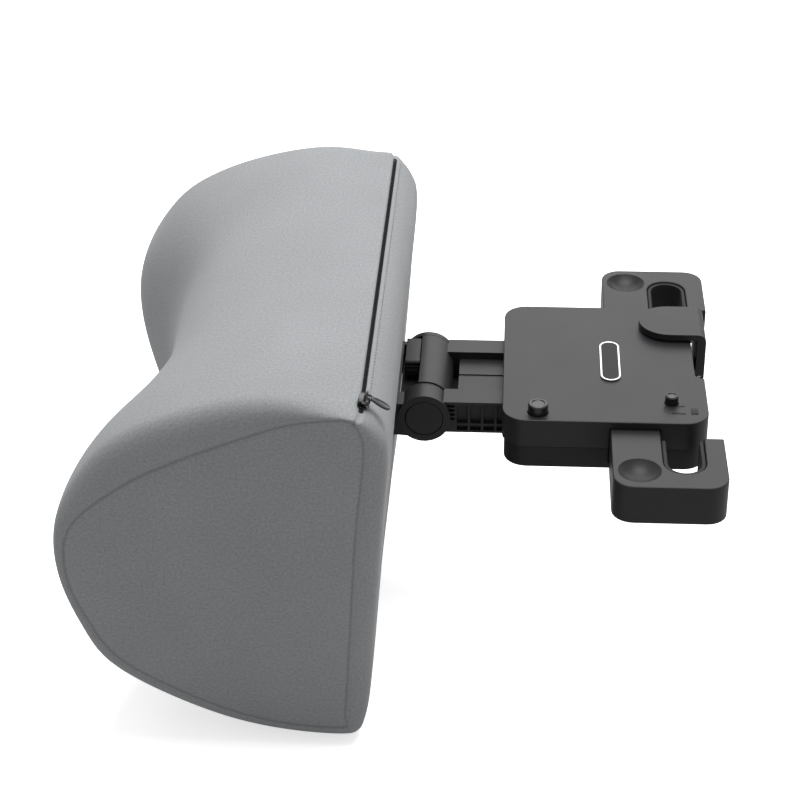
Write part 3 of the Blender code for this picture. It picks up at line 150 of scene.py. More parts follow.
world = bpy.data.worlds.new("studio_air")
bpy.context.scene.world = world
world.use_nodes = True
tree = world.node_tree
tree.nodes.clear()
seen = add_node(tree, "ShaderNodeLightPath")
seen_or_mirrored = add_node(tree, "ShaderNodeMath", operation="MAXIMUM",
                            links={0: seen.outputs["Is Camera Ray"], 1: seen.outputs["Is Glossy Ray"]})
shown_white = add_node(tree, "ShaderNodeMath", operation="MAXIMUM",
                       links={0: seen_or_mirrored.outputs[0], 1: seen.outputs["Is Transmission Ray"]})
air_light = add_node(tree, "ShaderNodeBackground", {"Color": linear("#ffffff"), "Strength": AIR_LIGHT})
air_white = add_node(tree, "ShaderNodeBackground", {"Color": linear("#ffffff"), "Strength": AIR_WHITE})
choice = add_node(tree, "ShaderNodeMixShader",
                  links={0: shown_white.outputs[0], 1: air_light.outputs[0], 2: air_white.outputs[0]})
add_node(tree, "ShaderNodeOutputWorld", links={"Surface": choice.outputs[0]})


# Lamps: one soft box overhead and a weaker, wide one low on the far side, whose sheen lies on the black
# plastic's level faces. There is none in front, so faces turned to the lens read dark.

def soft_box(name, place, target, size, power):
    """A rectangular lamp at a place in metres, turned to its target."""
    lamp = bpy.data.lights.new(name, "AREA")
    lamp.shape = "RECTANGLE"
    lamp.size, lamp.size_y = size
    lamp.energy = power
    box = bpy.data.objects.new(name, lamp)
    box.location = place
    box.rotation_euler = (Vector(target) - Vector(place)).to_track_quat("-Z", "Y").to_euler()
    bpy.context.scene.collection.objects.link(box)


soft_box("far_box", (0.10, 1.30, 0.90), (-0.05, 0.0, 0.0), (1.8, 1.0), 12.0)
soft_box("overhead_box", (-0.02, 0.22, 1.55), (-0.10, 0.0, 0.0), (1.1, 1.0), 25.0)


# Hard parts of the bracket: black plastic mouldings, taken as ABS. A fine even grain, as spark-eroded moulds
# leave it, dulls them, and edges rounded by a few tenths of a millimetre catch a thin light.

PLASTIC_BLACK = "#1b1b1d"
PLASTIC_PALER = "#232325"
GRAIN_SIZE = 0.9 * MM
CLOUD_SIZE = 22.0 * MM
WELD = 0.01 * MM
FLAT_ANGLE = math.radians(1.0)
EDGE_ANGLE = math.radians(32.0)
GLOSS_SPREAD = 0.05
MOULDING_ROUNDS = (("top_cover", 0.35), ("left_jaw", 0.4), ("right_jaw", 0.4), ("clamp_lever", 0.45),
                   ("pillow_knuckle", 0.3), ("tilt_tab", 0.3), ("hinge_button", 0.3))

body_of_node = {node: body for body, nodes in frame["record"]["behaviour"]["bodies"].items()
                for node in nodes}
slot_of_node = {row["node"]: row["material_slot"] for row in frame["record"]["subparts"]}


def moulded_plastic(name, dark, pale, roughness, specular, grain=0.012):
    """Moulded plastic: a tint with a faint cloud, uneven gloss and a fine grain."""
    material, tree = new_material(name)
    place = add_node(tree, "ShaderNodeTexCoord")
    cloud = add_node(tree, "ShaderNodeTexNoise", {"Scale": 1.0 / CLOUD_SIZE, "Detail": 3.0},
                     {"Vector": place.outputs["Object"]})
    tint = add_node(tree, "ShaderNodeMix", links={"Factor": cloud.outputs["Fac"]}, data_type="RGBA")
    tint.inputs["A"].default_value = linear(dark)
    tint.inputs["B"].default_value = linear(pale)
    gloss = add_node(tree, "ShaderNodeMapRange",
                     {"To Min": roughness - GLOSS_SPREAD, "To Max": roughness + GLOSS_SPREAD},
                     {"Value": cloud.outputs["Fac"]})
    sparks = add_node(tree, "ShaderNodeTexNoise",
                      {"Scale": 1.0 / GRAIN_SIZE, "Detail": 2.0, "Roughness": 0.6},
                      {"Vector": place.outputs["Object"]})
    relief = add_node(tree, "ShaderNodeBump", {"Strength": 0.35, "Distance": grain * MM},
                      {"Height": sparks.outputs["Fac"]})
    shader = add_node(tree, "ShaderNodeBsdfPrincipled", {"Specular IOR Level": specular, "IOR": 1.5},
                      {"Base Color": tint.outputs["Result"], "Roughness": gloss.outputs["Result"],
                       "Normal": relief.outputs["Normal"]})
    add_node(tree, "ShaderNodeOutputMaterial", links={"Surface": shader.outputs[0]})
    return material


def softened(node, round_width, material):
    """A copy of a hard node's shape with its sharp edges rounded, standing for that node."""
    bm = bmesh.new()
    bm.from_mesh(frame["nodes"][node].data)
    bmesh.ops.remove_doubles(bm, verts=bm.verts[:], dist=WELD)
    bmesh.ops.dissolve_limit(bm, angle_limit=FLAT_ANGLE, use_dissolve_boundaries=False, verts=bm.verts[:],
                             edges=bm.edges[:])
    mesh = bpy.data.meshes.new(node + "_moulding")
    for face in bm.faces:
        face.smooth = True
    bm.to_mesh(mesh)
    bm.free()
    mesh.materials.clear()
    mesh.materials.append(material)
    piece = bpy.data.objects.new(mesh.name, mesh)
    bpy.context.scene.collection.objects.link(piece)
    rounding = piece.modifiers.new("rounding", "BEVEL")
    rounding.width = round_width
    rounding.segments = 2
    rounding.limit_method = "ANGLE"
    rounding.angle_limit = EDGE_ANGLE
    rounding.use_clamp_overlap = True
    flats = piece.modifiers.new("flats", "WEIGHTED_NORMAL")
    flats.keep_sharp = False
    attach(piece, body_of_node[node])
    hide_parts(node)
    return piece


abs_grained = moulded_plastic("abs_injection_moulded_spark_grain", PLASTIC_BLACK, PLASTIC_PALER, 0.44, 0.25)
abs_smooth = moulded_plastic("abs_injection_moulded_polished", "#161618", "#1c1c1e", 0.27, 0.4, 0.004)
for node, width in MOULDING_ROUNDS:
    softened(node, width * MM, abs_grained)


# Lower cover: the housing's under half, a moulding like the upper one. Its wall stands a little inside the
# upper one's and stops short of it, which shades the parting line. It is duller, and its darker tint is
# painted shade.

PARTING_INSET = 0.011
PARTING_GAP = 0.5
PARTING_Z = -1.1
LOWER_ROUND = 0.35 * MM

# Painted shade: this copy of the black moulded plastic is tinted darker than the upper cover's; its rougher
# gloss is its own.
abs_dull_painted_shade = moulded_plastic("abs_injection_moulded_dull_grain_painted_shade", "#151517", "#1c1c1e", 0.52, 0.2)
lower_cover = softened("bottom_cover", LOWER_ROUND, abs_dull_painted_shade)
cover_low, cover_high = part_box("bottom_cover")
cover_middle = (cover_low + cover_high) / 2
for vert in lower_cover.data.vertices:
    vert.co.x += (cover_middle.x - vert.co.x) * PARTING_INSET
    vert.co.y += (cover_middle.y - vert.co.y) * PARTING_INSET
    if PARTING_Z * MM - WELD < vert.co.z < (PARTING_Z + PARTING_GAP) * MM:
        vert.co.z -= PARTING_GAP * MM


# Arm: a black moulding. Between the hinge barrel and the end of its channel is a recess that reads black in
# the picture. A web low down closes it, so that no light comes through. How deep the web lies is a guess.

RECESS_FRONT, RECESS_REAR = -115.0, -107.8
RECESS_NEAR, RECESS_FAR = -15.2, 18.5
RECESS_WEB = 1.8
ARM_UNDERSIDE = -9.9
ARM_ROUND = 0.25 * MM
WEB_ROUND = 0.3 * MM

softened("extension_arm", ARM_ROUND, abs_grained)
bm = bmesh.new()
web_size = Vector((RECESS_REAR - RECESS_FRONT, RECESS_FAR - RECESS_NEAR, RECESS_WEB)) * MM
web_place = Vector(((RECESS_FRONT + RECESS_REAR) / 2, (RECESS_NEAR + RECESS_FAR) / 2,
                    ARM_UNDERSIDE + RECESS_WEB / 2)) * MM
bmesh.ops.create_cube(bm, size=1.0, matrix=Matrix.LocRotScale(web_place, None, web_size))
bmesh.ops.bevel(bm, geom=bm.edges[:], offset=WEB_ROUND, segments=2, affect="EDGES", profile=0.5, material=-1)
web_mesh = bpy.data.meshes.new("arm_recess_web")
bm.to_mesh(web_mesh)
bm.free()
web_mesh.materials.append(abs_grained)
recess_web = bpy.data.objects.new("arm_recess_web", web_mesh)
bpy.context.scene.collection.objects.link(recess_web)
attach(recess_web, "arm")


# Pillow: a stretched cover of fine grey knit, whose seams show one wrap and an end panel. The foam block
# in it, the panel on the far end and the slot in the back, where the bracket goes in, are taken as usual.

HINGE_PLACE = Vector((-125.0, 0.0, -1.25)) * MM
REST_LEAN = math.radians(4.6)
PILLOW_BACK = 14.0
LOBE_FROM = 118.0
ROLL_FROM = 130.0
END_SEAM = 141.5
END_BULGE = 2.5
END_SQUARE = 2.7
LOBE_SPREAD = 1.6
RING_STEPS = 8
WAIST = ((0, 0), (0, 40), (4, 54), (11, 60), (17.5, 61.5), (24, 62.5), (48, 63), (77, 58), (103, 42),
         (114, 15), (119, -16), (118, -50), (114, -83), (91, -108), (53, -119), (14, -121), (2, -112),
         (0, -50))
LOBE = ((0, 0), (0, 40), (4, 54), (11, 60.5), (17.5, 63), (25, 64.5), (51, 66.5), (80, 60), (110, 47),
        (133, 28.5), (150, -4), (151, -34), (140, -66), (121, -93), (66, -116), (13, -119.5), (0.5, -109),
        (0, -50))
SEAM = ((12, 2), (11, 35), (11.5, 50), (15, 58.5), (19, 61.5), (26, 61.5), (46, 56.5), (70, 45), (97, 30.5),
        (119, 16), (143, -8), (146, -34), (136, -60), (116, -86), (60, -110), (13, -113), (10.5, -102),
        (11, -60))
MIDDLE_STATIONS = 48
ROUND_STATIONS = 14
PANEL_SHARES = (0.985, 0.93, 0.85, 0.75, 0.62, 0.48, 0.33, 0.18, 0.07)
ZIP_RING = 3.5
SLOT_NEAR, SLOT_FAR, SLOT_LOW, SLOT_HIGH = -44.0, 34.0, -14.0, 8.0
SLOT_DEPTH = 4.0
SLOT_SKIN = 2.0
START_INSET = 0.4
SWELL_CAP = 0.9
SWELL_SMOOTHING = 8
SWELL_PRESSURE = 2.5
SWELL_FRAMES = 14
CLOTH_SETTINGS = {"quality": 4, "mass": 0.2, "tension_stiffness": 12, "compression_stiffness": 12,
                  "shear_stiffness": 6, "bending_stiffness": 6.0}
ZIP_HOLD = 5
BACK_HOLD = 3.0
SEAM_GROOVE = 0.9
ZIP_ROWS = 12
ZIP_GROOVE = 0.5
ZIP_GROOVE_ROWS = 1.5
ZIP_LIP = 0.3
ZIP_LIP_ROWS = 3.5
PUCKER = 0.35
PUCKER_ROUND, PUCKER_ALONG, PUCKER_SEED = 25.0, 130.0, 4.0
SLACK = 0.25
SLACK_FOLDS, SLACK_SEED = 14.0, 9.0

pillow_frame = Matrix.Translation(HINGE_PLACE) @ Matrix.Rotation(REST_LEAN, 4, "Y")


def smooth_ring(anchors, steps):
    """Points on a closed Catmull-Rom curve through the anchors."""
    count = len(anchors)
    points = []
    for i in range(count):
        p0, p1, p2, p3 = (Vector(anchors[(i + k - 1) % count]) for k in range(4))
        for j in range(steps):
            t = j / steps
            points.append(0.5 * (2 * p1 + (p2 - p0) * t + (2 * p0 - 5 * p1 + 4 * p2 - p3) * t * t
                                 + (3 * p1 - p0 - 3 * p2 + p3) * t * t * t))
    return points


pillow_rings = [smooth_ring(anchors, RING_STEPS) for anchors in (WAIST, LOBE, SEAM)]


def pillow_point(y, index, inset=0.0):
    """A point of the section at y, as a place in the pillow's own frame; y and the inset are in mm."""
    reach = min(abs(y) / LOBE_FROM, 1.0)
    to_lobe = 0.5 - 0.5 * math.cos(math.pi * reach ** LOBE_SPREAD)
    over = min(1.0, max(0.0, (abs(y) - ROLL_FROM) / (END_SEAM - ROLL_FROM)))
    to_seam = 1.0 - max(0.0, 1.0 - over ** END_SQUARE) ** (1.0 / END_SQUARE)
    count = len(pillow_rings[0])

    def at(i):
        waist, lobe, seam = (ring[i % count] for ring in pillow_rings)
        return waist.lerp(lobe, to_lobe).lerp(seam, to_seam)

    here = at(index)
    along = (at(index + 1) - at(index - 1)).normalized()
    here = here + Vector((along.y, -along.x)) * inset
    return Vector((-PILLOW_BACK - here.x, y * (1.0 - inset / END_SEAM), here.y)) * MM


def ring_edges(bm, ring):
    """The edges of a closed ring of vertices."""
    return [bm.edges.get((vert, ring[(i + 1) % len(ring)])) for i, vert in enumerate(ring)]


def extrude_ring(bm, ring, places):
    """Extrudes a closed ring of vertices and puts the new ring's vertices on the given places."""
    edges = ring_edges(bm, ring)
    made = bmesh.ops.extrude_edge_only(bm, edges=edges)["geom"]
    fresh = {item for item in made if isinstance(item, bmesh.types.BMVert)}
    new_ring = []
    for vert, place in zip(ring, places):
        new = next(edge.other_vert(vert) for edge in vert.link_edges if edge.other_vert(vert) in fresh)
        new.co = place
        new_ring.append(new)
    return new_ring


def in_order(bm):
    """Sorts edges and faces by their corners' numbers: extrusions leave them in a new order each run."""
    bm.verts.index_update()
    count = len(bm.verts)

    def rank(part):
        numbers = sorted(vert.index for vert in part.verts)
        return float((numbers[0] * count + numbers[1]) * count + numbers[-1])

    bm.edges.sort(key=rank)
    bm.faces.sort(key=rank)


def pillow_shell(inset):
    """The closed cover as rings from end seam to end seam, with a crowned panel on both ends."""
    half = [ROLL_FROM * (i / (MIDDLE_STATIONS / 2)) for i in range(MIDDLE_STATIONS // 2 + 1)]
    half += [ROLL_FROM + (END_SEAM - ROLL_FROM) * math.sin(math.radians(90.0 * i / ROUND_STATIONS))
             for i in range(1, ROUND_STATIONS + 1)]
    stations = [-y for y in half[:0:-1]] + half
    count = len(pillow_rings[0])
    bm = bmesh.new()
    seam_layer = bm.verts.layers.float.new("seam")
    zip_layer = bm.verts.layers.float.new("zip")
    wrap_layer = bm.verts.layers.float_vector.new("cloth_place")
    panel_layer = bm.verts.layers.float.new("panel")
    bmesh.ops.create_circle(bm, cap_ends=False, segments=count, radius=1.0)
    bm.verts.ensure_lookup_table()
    ring = list(bm.verts)
    rings = []
    runs = [0.0] * count
    free_shares = [min(1.0, max(0.0, abs(i - ZIP_RING * RING_STEPS) / ZIP_HOLD - 1.0))
                   for i in range(count)]
    girth = [0.0]
    for i in range(1, count):
        girth.append(girth[-1] + (pillow_rings[1][i] - pillow_rings[1][i - 1]).length)
    for number, y in enumerate(stations):
        places = [pillow_point(y, i, inset * share) for i, share in enumerate(free_shares)]
        if number == 0:
            for vert, place in zip(ring, places):
                vert.co = place
        else:
            runs = [run + (here - last).length for run, here, last in zip(runs, places, before)]
            ring = extrude_ring(bm, ring, places)
        before = places
        rings.append(ring)
        for i, vert in enumerate(ring):
            vert[wrap_layer] = (girth[i] * MM, runs[i], 0.0)
    for ring, side in ((rings[0], -1), (rings[-1], 1)):
        rim = [vert.co.copy() for vert in ring]
        centre = sum(rim, Vector()) / count
        for vert in ring:
            vert[seam_layer] = 1.0
        for share in PANEL_SHARES:
            rise = Vector((0, side * (1.0 - share ** 3) * END_BULGE * MM, 0))
            ring = extrude_ring(bm, ring, [centre + (place - centre) * share + rise for place in rim])
            for vert in ring:
                vert[panel_layer] = 1.0
                vert[seam_layer] = 0.0
        face = bmesh.ops.contextual_create(bm, geom=ring_edges(bm, ring))["faces"]
        for vert in bmesh.ops.poke(bm, faces=face)["verts"]:
            vert[panel_layer] = 1.0
    for ring in rings:
        for offset in range(-ZIP_ROWS, ZIP_ROWS + 1):
            ring[int(ZIP_RING * RING_STEPS) + offset][zip_layer] = 1.0 - abs(offset) / ZIP_ROWS
    bmesh.ops.recalc_face_normals(bm, faces=bm.faces[:])
    return bm, rings


def swell(obj, held, pressure, last_frame, cap):
    """Blows the cover up a little as cloth, holding a weighted group, and keeps the result in the mesh.

    The foam behind the cloth lets no place move further than the cap, which each move nears smoothly.
    """
    scene = bpy.context.scene
    cloth = obj.modifiers.new("swell", "CLOTH")
    for setting, value in CLOTH_SETTINGS.items():
        setattr(cloth.settings, setting, value)
    cloth.settings.use_pressure = True
    cloth.settings.uniform_pressure_force = pressure
    cloth.settings.vertex_group_mass = held
    cloth.settings.effector_weights.gravity = 0.0
    cloth.collision_settings.use_collision = False
    cloth.point_cache.frame_start = 1
    cloth.point_cache.frame_end = last_frame
    for number in range(1, last_frame + 1):
        scene.frame_set(number)
    blown = obj.evaluated_get(bpy.context.evaluated_depsgraph_get()).data
    places = [vert.co.copy() for vert in blown.vertices]
    obj.modifiers.remove(cloth)
    for vert, place in zip(obj.data.vertices, places):
        move = place - vert.co
        vert.co += move * cap / (cap + move.length)
    scene.frame_set(1)


bm, cover_rings = pillow_shell(START_INSET)
in_order(bm)
held_list = []
for ring in cover_rings:
    for i, vert in enumerate(ring):
        depth = -vert.co.x / MM - PILLOW_BACK
        near_zip = abs(i - ZIP_RING * RING_STEPS) <= ZIP_HOLD
        if ring is cover_rings[0] or ring is cover_rings[-1] or near_zip or depth < BACK_HOLD:
            held_list.append(vert.index)
pillow_mesh = bpy.data.meshes.new("pillow")
bm.to_mesh(pillow_mesh)
bm.free()
pillow = bpy.data.objects.new("pillow", pillow_mesh)
bpy.context.scene.collection.objects.link(pillow)
pillow.vertex_groups.new(name="held").add(held_list, 1.0, "REPLACE")
swell(pillow, "held", SWELL_PRESSURE, SWELL_FRAMES, (START_INSET + SWELL_CAP) * MM)
pillow.vertex_groups.clear()

bm = bmesh.new()
bm.from_mesh(pillow_mesh)
held = set(held_list)
loose = [vert for vert in bm.verts if vert.index not in held]
for _ in range(SWELL_SMOOTHING):
    bmesh.ops.smooth_vert(bm, verts=loose, factor=0.5, use_axis_x=True, use_axis_y=True, use_axis_z=True)
bm.normal_update()
seam_layer = bm.verts.layers.float["seam"]
zip_layer = bm.verts.layers.float["zip"]
place_layer = bm.verts.layers.float_vector["cloth_place"]
moves = {}
for vert in bm.verts:
    lift = -SEAM_GROOVE * vert[seam_layer]
    from_zip = vert[zip_layer]
    if from_zip > 0:
        rows_off = (1.0 - from_zip) * ZIP_ROWS
        if rows_off < ZIP_GROOVE_ROWS:
            lift -= ZIP_GROOVE
        elif rows_off < ZIP_LIP_ROWS:
            lift += ZIP_LIP
        pull = noise.noise(Vector((vert[place_layer].x * PUCKER_ROUND, vert[place_layer].y * PUCKER_ALONG,
                                   PUCKER_SEED)))
        lift += PUCKER * pull * from_zip
    crease = noise.noise(Vector((vert[place_layer].x * SLACK_FOLDS, vert[place_layer].y * SLACK_FOLDS,
                                 SLACK_SEED)))
    lift += SLACK * crease
    moves[vert] = vert.normal * lift * MM
for vert, move in moves.items():
    vert.co += move
bmesh.ops.transform(bm, matrix=pillow_frame, verts=bm.verts[:])

slot_faces = []
for face in bm.faces:
    middle = pillow_frame.inverted() @ face.calc_center_median()
    if (middle.x > (-PILLOW_BACK - SLOT_SKIN) * MM and SLOT_NEAR * MM < middle.y < SLOT_FAR * MM
            and SLOT_LOW * MM < middle.z < SLOT_HIGH * MM):
        slot_faces.append(face)
grown = bmesh.ops.extrude_face_region(bm, geom=slot_faces)["geom"]
bmesh.ops.delete(bm, geom=slot_faces, context="FACES_ONLY")
sunk = [item for item in grown if isinstance(item, bmesh.types.BMVert)]
into_pillow = (pillow_frame.to_3x3() @ Vector((-1, 0, 0))) * SLOT_DEPTH * MM
bmesh.ops.translate(bm, vec=into_pillow, verts=sunk)

uv_layer = bm.loops.layers.uv.new("cloth")
girth_whole = sum((here - before).length for here, before in
                  zip(pillow_rings[1], pillow_rings[1][-1:] + pillow_rings[1][:-1])) * MM
panel_layer = bm.verts.layers.float["panel"]
for face in bm.faces:
    face.smooth = True
    on_panel = any(loop.vert[panel_layer] > 0.5 for loop in face.loops)
    around = [loop.vert[place_layer].x for loop in face.loops]
    for loop in face.loops:
        if on_panel:
            flat = pillow_frame.inverted() @ loop.vert.co
            loop[uv_layer].uv = (flat.x, flat.z)
        else:
            u = loop.vert[place_layer].x
            if max(around) - min(around) > girth_whole / 2 and u < girth_whole / 2:
                u += girth_whole
            loop[uv_layer].uv = (u, loop.vert[place_layer].y)
in_order(bm)
bm.to_mesh(pillow_mesh)
bm.free()
finer = pillow.modifiers.new("finer", "SUBSURF")
finer.levels = 1
finer.render_levels = 1


# Cover cloth: a fine grey knit, taken as polyester with elastane in two greys of yarn. Its wales
# are drawn round the pillow and 1.1 mm apart, coarser than such a knit's, so that the picture holds them.

WALE_PITCH = 1.1 * MM
LOOP_PITCH = 1.6 * MM
MELANGE_SIZE = 1.3 * MM
WEAR_SIZE = 45.0 * MM
KNIT_RELIEF = 0.05 * MM
WAVE_PERIOD = 0.314  # a wave texture of scale 1 repeats at this distance

knit, tree = new_material("polyester_elastane_warp_knit")
cloth_place = add_node(tree, "ShaderNodeUVMap", uv_map="cloth")
wales = add_node(tree, "ShaderNodeTexWave", {"Scale": WAVE_PERIOD / WALE_PITCH, "Distortion": 1.2,
                                             "Detail": 2.0, "Detail Scale": 1.5},
                 {"Vector": cloth_place.outputs["UV"]}, bands_direction="Y")
loops = add_node(tree, "ShaderNodeTexVoronoi", {"Scale": 1.0 / LOOP_PITCH, "Randomness": 0.7},
                 {"Vector": cloth_place.outputs["UV"]})
melange = add_node(tree, "ShaderNodeTexNoise", {"Scale": 1.0 / MELANGE_SIZE, "Detail": 3.0, "Roughness": 0.7},
                   {"Vector": cloth_place.outputs["UV"]})
wear = add_node(tree, "ShaderNodeTexNoise", {"Scale": 1.0 / WEAR_SIZE, "Detail": 2.0},
                {"Vector": cloth_place.outputs["UV"]})
yarns = add_node(tree, "ShaderNodeMapRange", {"From Min": 0.3, "From Max": 0.7},
                 {"Value": melange.outputs["Fac"]})
yarn_tint = add_node(tree, "ShaderNodeMix", links={"Factor": yarns.outputs["Result"]}, data_type="RGBA")
yarn_tint.inputs["A"].default_value = linear("#838587")
yarn_tint.inputs["B"].default_value = linear("#999b9d")
worn = add_node(tree, "ShaderNodeHueSaturation", links={"Color": yarn_tint.outputs["Result"]})
faded = add_node(tree, "ShaderNodeMapRange", {"To Min": 0.92, "To Max": 1.08}, {"Value": wear.outputs["Fac"]})
tree.links.new(faded.outputs["Result"], worn.inputs["Value"])
# Painted shade: along the end seams the knit is darkened towards near-black, standing for the shade in the
# seam's crease.
seam_value = add_node(tree, "ShaderNodeAttribute", attribute_name="seam")
painted_seam_shade = add_node(tree, "ShaderNodeMapRange", {"From Min": 0.55, "From Max": 0.95, "To Max": 0.28},
                     {"Value": seam_value.outputs["Fac"]})
tint = add_node(tree, "ShaderNodeMix", links={"Factor": painted_seam_shade.outputs["Result"],
                                              "A": worn.outputs["Color"]}, data_type="RGBA")
tint.inputs["B"].default_value = linear("#2c2d2f")
height = add_node(tree, "ShaderNodeMath", {1: 0.5}, {0: loops.outputs["Distance"], 2: wales.outputs["Fac"]},
                  operation="MULTIPLY_ADD")
relief = add_node(tree, "ShaderNodeBump", {"Strength": 0.38, "Distance": KNIT_RELIEF},
                  {"Height": height.outputs[0]})
shader = add_node(tree, "ShaderNodeBsdfPrincipled",
                  {"Roughness": 0.82, "Specular IOR Level": 0.25, "Sheen Weight": 0.12,
                   "Sheen Roughness": 0.5},
                  {"Base Color": tint.outputs["Result"], "Normal": relief.outputs["Normal"]})
add_node(tree, "ShaderNodeOutputMaterial", links={"Surface": shader.outputs[0]})
pillow_mesh.materials.append(knit)
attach(pillow, "pillow")
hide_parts("pillow_cover", "foam_core")


# Zip in the top of the cover, close to its back edge, with its slider at the near end. The black tapes are
# taken as woven polyester with a nylon coil on each, and a row of stitches shows in the knit beside them.

ZIP_END = 133.5
ZIP_STEPS = 134
TAPE_HALF = 1.0
TAPE_CROWN = 0.25
TAPE_SINK = 0.1
TAPE_THICK = 0.3 * MM
TAPE_RIB = 5.652 * MM
COIL_PITCH = 1.5
COIL_END = 131.0
COIL_SPREAD = 0.38
COIL_LIFT = 0.45
COIL_LEAN = math.radians(28.0)
COIL_HALF = Vector((0.5, 0.48, 0.36))
STITCH_PITCH = 2.9
STITCH_HALF = Vector((0.17, 0.95, 0.13))
STITCH_OUT = 3.3
STITCH_LIFT = -0.0767
ZIP_INDEX = int(ZIP_RING * RING_STEPS)


def zip_place(y):
    """A frame on the cover at a distance y along the zip: X towards the back, Y along it, Z outwards."""
    here = pillow_point(y, ZIP_INDEX)
    across = (pillow_point(y, ZIP_INDEX - 1) - pillow_point(y, ZIP_INDEX + 1)).normalized()
    along = (pillow_point(y + 1.0, ZIP_INDEX) - pillow_point(y - 1.0, ZIP_INDEX)).normalized()
    out = across.cross(along).normalized()
    turn = Matrix((along.cross(out), along, out)).transposed().to_4x4()
    return pillow_frame @ Matrix.Translation(here) @ turn


def new_piece(name, bm, material, body, replaced=()):
    """Keeps a mesh as a smooth piece that rides on a body and takes a slot's finish."""
    bmesh.ops.recalc_face_normals(bm, faces=bm.faces[:])
    in_order(bm)
    for face in bm.faces:
        face.smooth = True
    mesh = bpy.data.meshes.new(name)
    bm.to_mesh(mesh)
    bm.free()
    mesh.materials.append(material)
    piece = bpy.data.objects.new(name, mesh)
    bpy.context.scene.collection.objects.link(piece)
    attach(piece, body)
    if replaced:
        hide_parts(*replaced)
    return piece


def beads(bm, places, half):
    """Small rounded bars at the given frames."""
    for place in places:
        bmesh.ops.create_icosphere(bm, subdivisions=1, radius=1.0,
                                   matrix=place @ Matrix.Diagonal((*half * MM, 1.0)))


def shift(x, y, z):
    """A move by millimetres."""
    return Matrix.Translation(Vector((x, y, z)) * MM)


zip_tape_cloth, tree = new_material("polyester_zip_tape_woven")
place = add_node(tree, "ShaderNodeTexCoord")
ribs = add_node(tree, "ShaderNodeTexWave", {"Scale": WAVE_PERIOD / TAPE_RIB, "Distortion": 0.4},
                {"Vector": place.outputs["Object"]}, bands_direction="Y")
relief = add_node(tree, "ShaderNodeBump", {"Strength": 0.5, "Distance": 0.05 * MM},
                  {"Height": ribs.outputs["Fac"]})
shader = add_node(tree, "ShaderNodeBsdfPrincipled",
                  {"Base Color": linear("#161617"), "Roughness": 0.8, "Specular IOR Level": 0.25},
                  {"Normal": relief.outputs["Normal"]})
add_node(tree, "ShaderNodeOutputMaterial", links={"Surface": shader.outputs[0]})

bm = bmesh.new()
bmesh.ops.create_grid(bm, x_segments=4, y_segments=ZIP_STEPS, size=1.0)
for vert in bm.verts:
    side, along = vert.co.x, vert.co.y
    lift = TAPE_CROWN * (1.0 - side * side) - TAPE_SINK
    vert.co = zip_place(along * ZIP_END) @ (Vector((side * TAPE_HALF, 0.0, lift)) * MM)
bmesh.ops.solidify(bm, geom=bm.faces[:], thickness=TAPE_THICK)
new_piece("zip_tapes", bm, zip_tape_cloth, "pillow", ("zip_tape",))

nylon_coil = moulded_plastic("nylon_coil_drawn_monofilament", "#0e0e0f", "#151516", 0.5, 0.2, 0.002)
bm = bmesh.new()
for i in range(int(2 * COIL_END / COIL_PITCH)):
    y = -COIL_END + i * COIL_PITCH
    for side in (-1, 1):
        tooth_y = y + (0.5 * COIL_PITCH if side > 0 else 0.0)
        place = zip_place(tooth_y) @ shift(side * COIL_SPREAD, 0, COIL_LIFT)
        beads(bm, [place @ Matrix.Rotation(side * COIL_LEAN, 4, "Z")], COIL_HALF)
new_piece("zip_coil", bm, nylon_coil, "pillow")

seam_thread, tree = new_material("polyester_thread_spun_grey")
shader = add_node(tree, "ShaderNodeBsdfPrincipled",
                  {"Base Color": linear("#5b5d5f"), "Roughness": 0.7, "Sheen Weight": 0.1})
add_node(tree, "ShaderNodeOutputMaterial", links={"Surface": shader.outputs[0]})
bm = bmesh.new()
for i in range(int(2 * COIL_END / STITCH_PITCH)):
    y = -COIL_END + (i + 0.5) * STITCH_PITCH
    beads(bm, [zip_place(y) @ shift(STITCH_OUT, 0, STITCH_LIFT)], STITCH_HALF)
new_piece("zip_stitches", bm, seam_thread, "pillow")


# Slider and puller: small and black, taken as zinc die castings under lacquer. The slider has two shoulders
# and an arch on top, and a wire link joins the arch to a leaf-shaped puller.

SLIDER_Y = -127.0
SLIDER_ROUND = 0.25
PLATE_LOW, PLATE_HIGH = 2.4, 3.5
UNDER_LOW, UNDER_HIGH, UNDER_ROUND = 0.35, 0.95, 0.15
UNDER_ACROSS, UNDER_ALONG = 0.92, 0.94
DIVIDER = ((-0.9, 3.6), (0.9, 3.6), (0.7, -1.2), (-0.7, -1.2))
DIVIDER_LOW, DIVIDER_ROUND = 0.8, 0.1
SHOULDERS = ((-1.2, 4.5), (1.2, 4.5), (2.6, 2.4), (2.8, -1.5), (2.3, -4.4), (1.3, -4.6), (0.9, -2.9),
             (-0.9, -2.9), (-1.3, -4.6), (-2.3, -4.4), (-2.8, -1.5), (-2.6, 2.4))
PULLER_EYE = Vector((-0.146562, -0.127, 0.067816))
PULLER_HANG = math.radians(28.0)
ARCH_HALF = 1.9
ARCH_WIRE = 0.45
ARCH_SINK = 0.2
ARCH_STRETCH = 0.75
LINK_RADIUS = 1.75
LINK_WIRE = 0.42
LINK_STRETCH = 1.25
LEAF = ((3.0, 0.9), (4.0, 1.5), (6.0, 2.2), (8.5, 2.5), (10.8, 2.3), (12.3, 1.5), (12.9, 0.5))
LEAF_HALF_THICK = 0.55
LEAF_ROUND = 0.3
LEAF_BROAD = 10 * MM * MM
LEAF_BORDER, LEAF_SLOPE, LEAF_DISH = 0.6 * MM, 0.25 * MM, -0.2 * MM
LACQUER_WEAR = 3.0 * MM


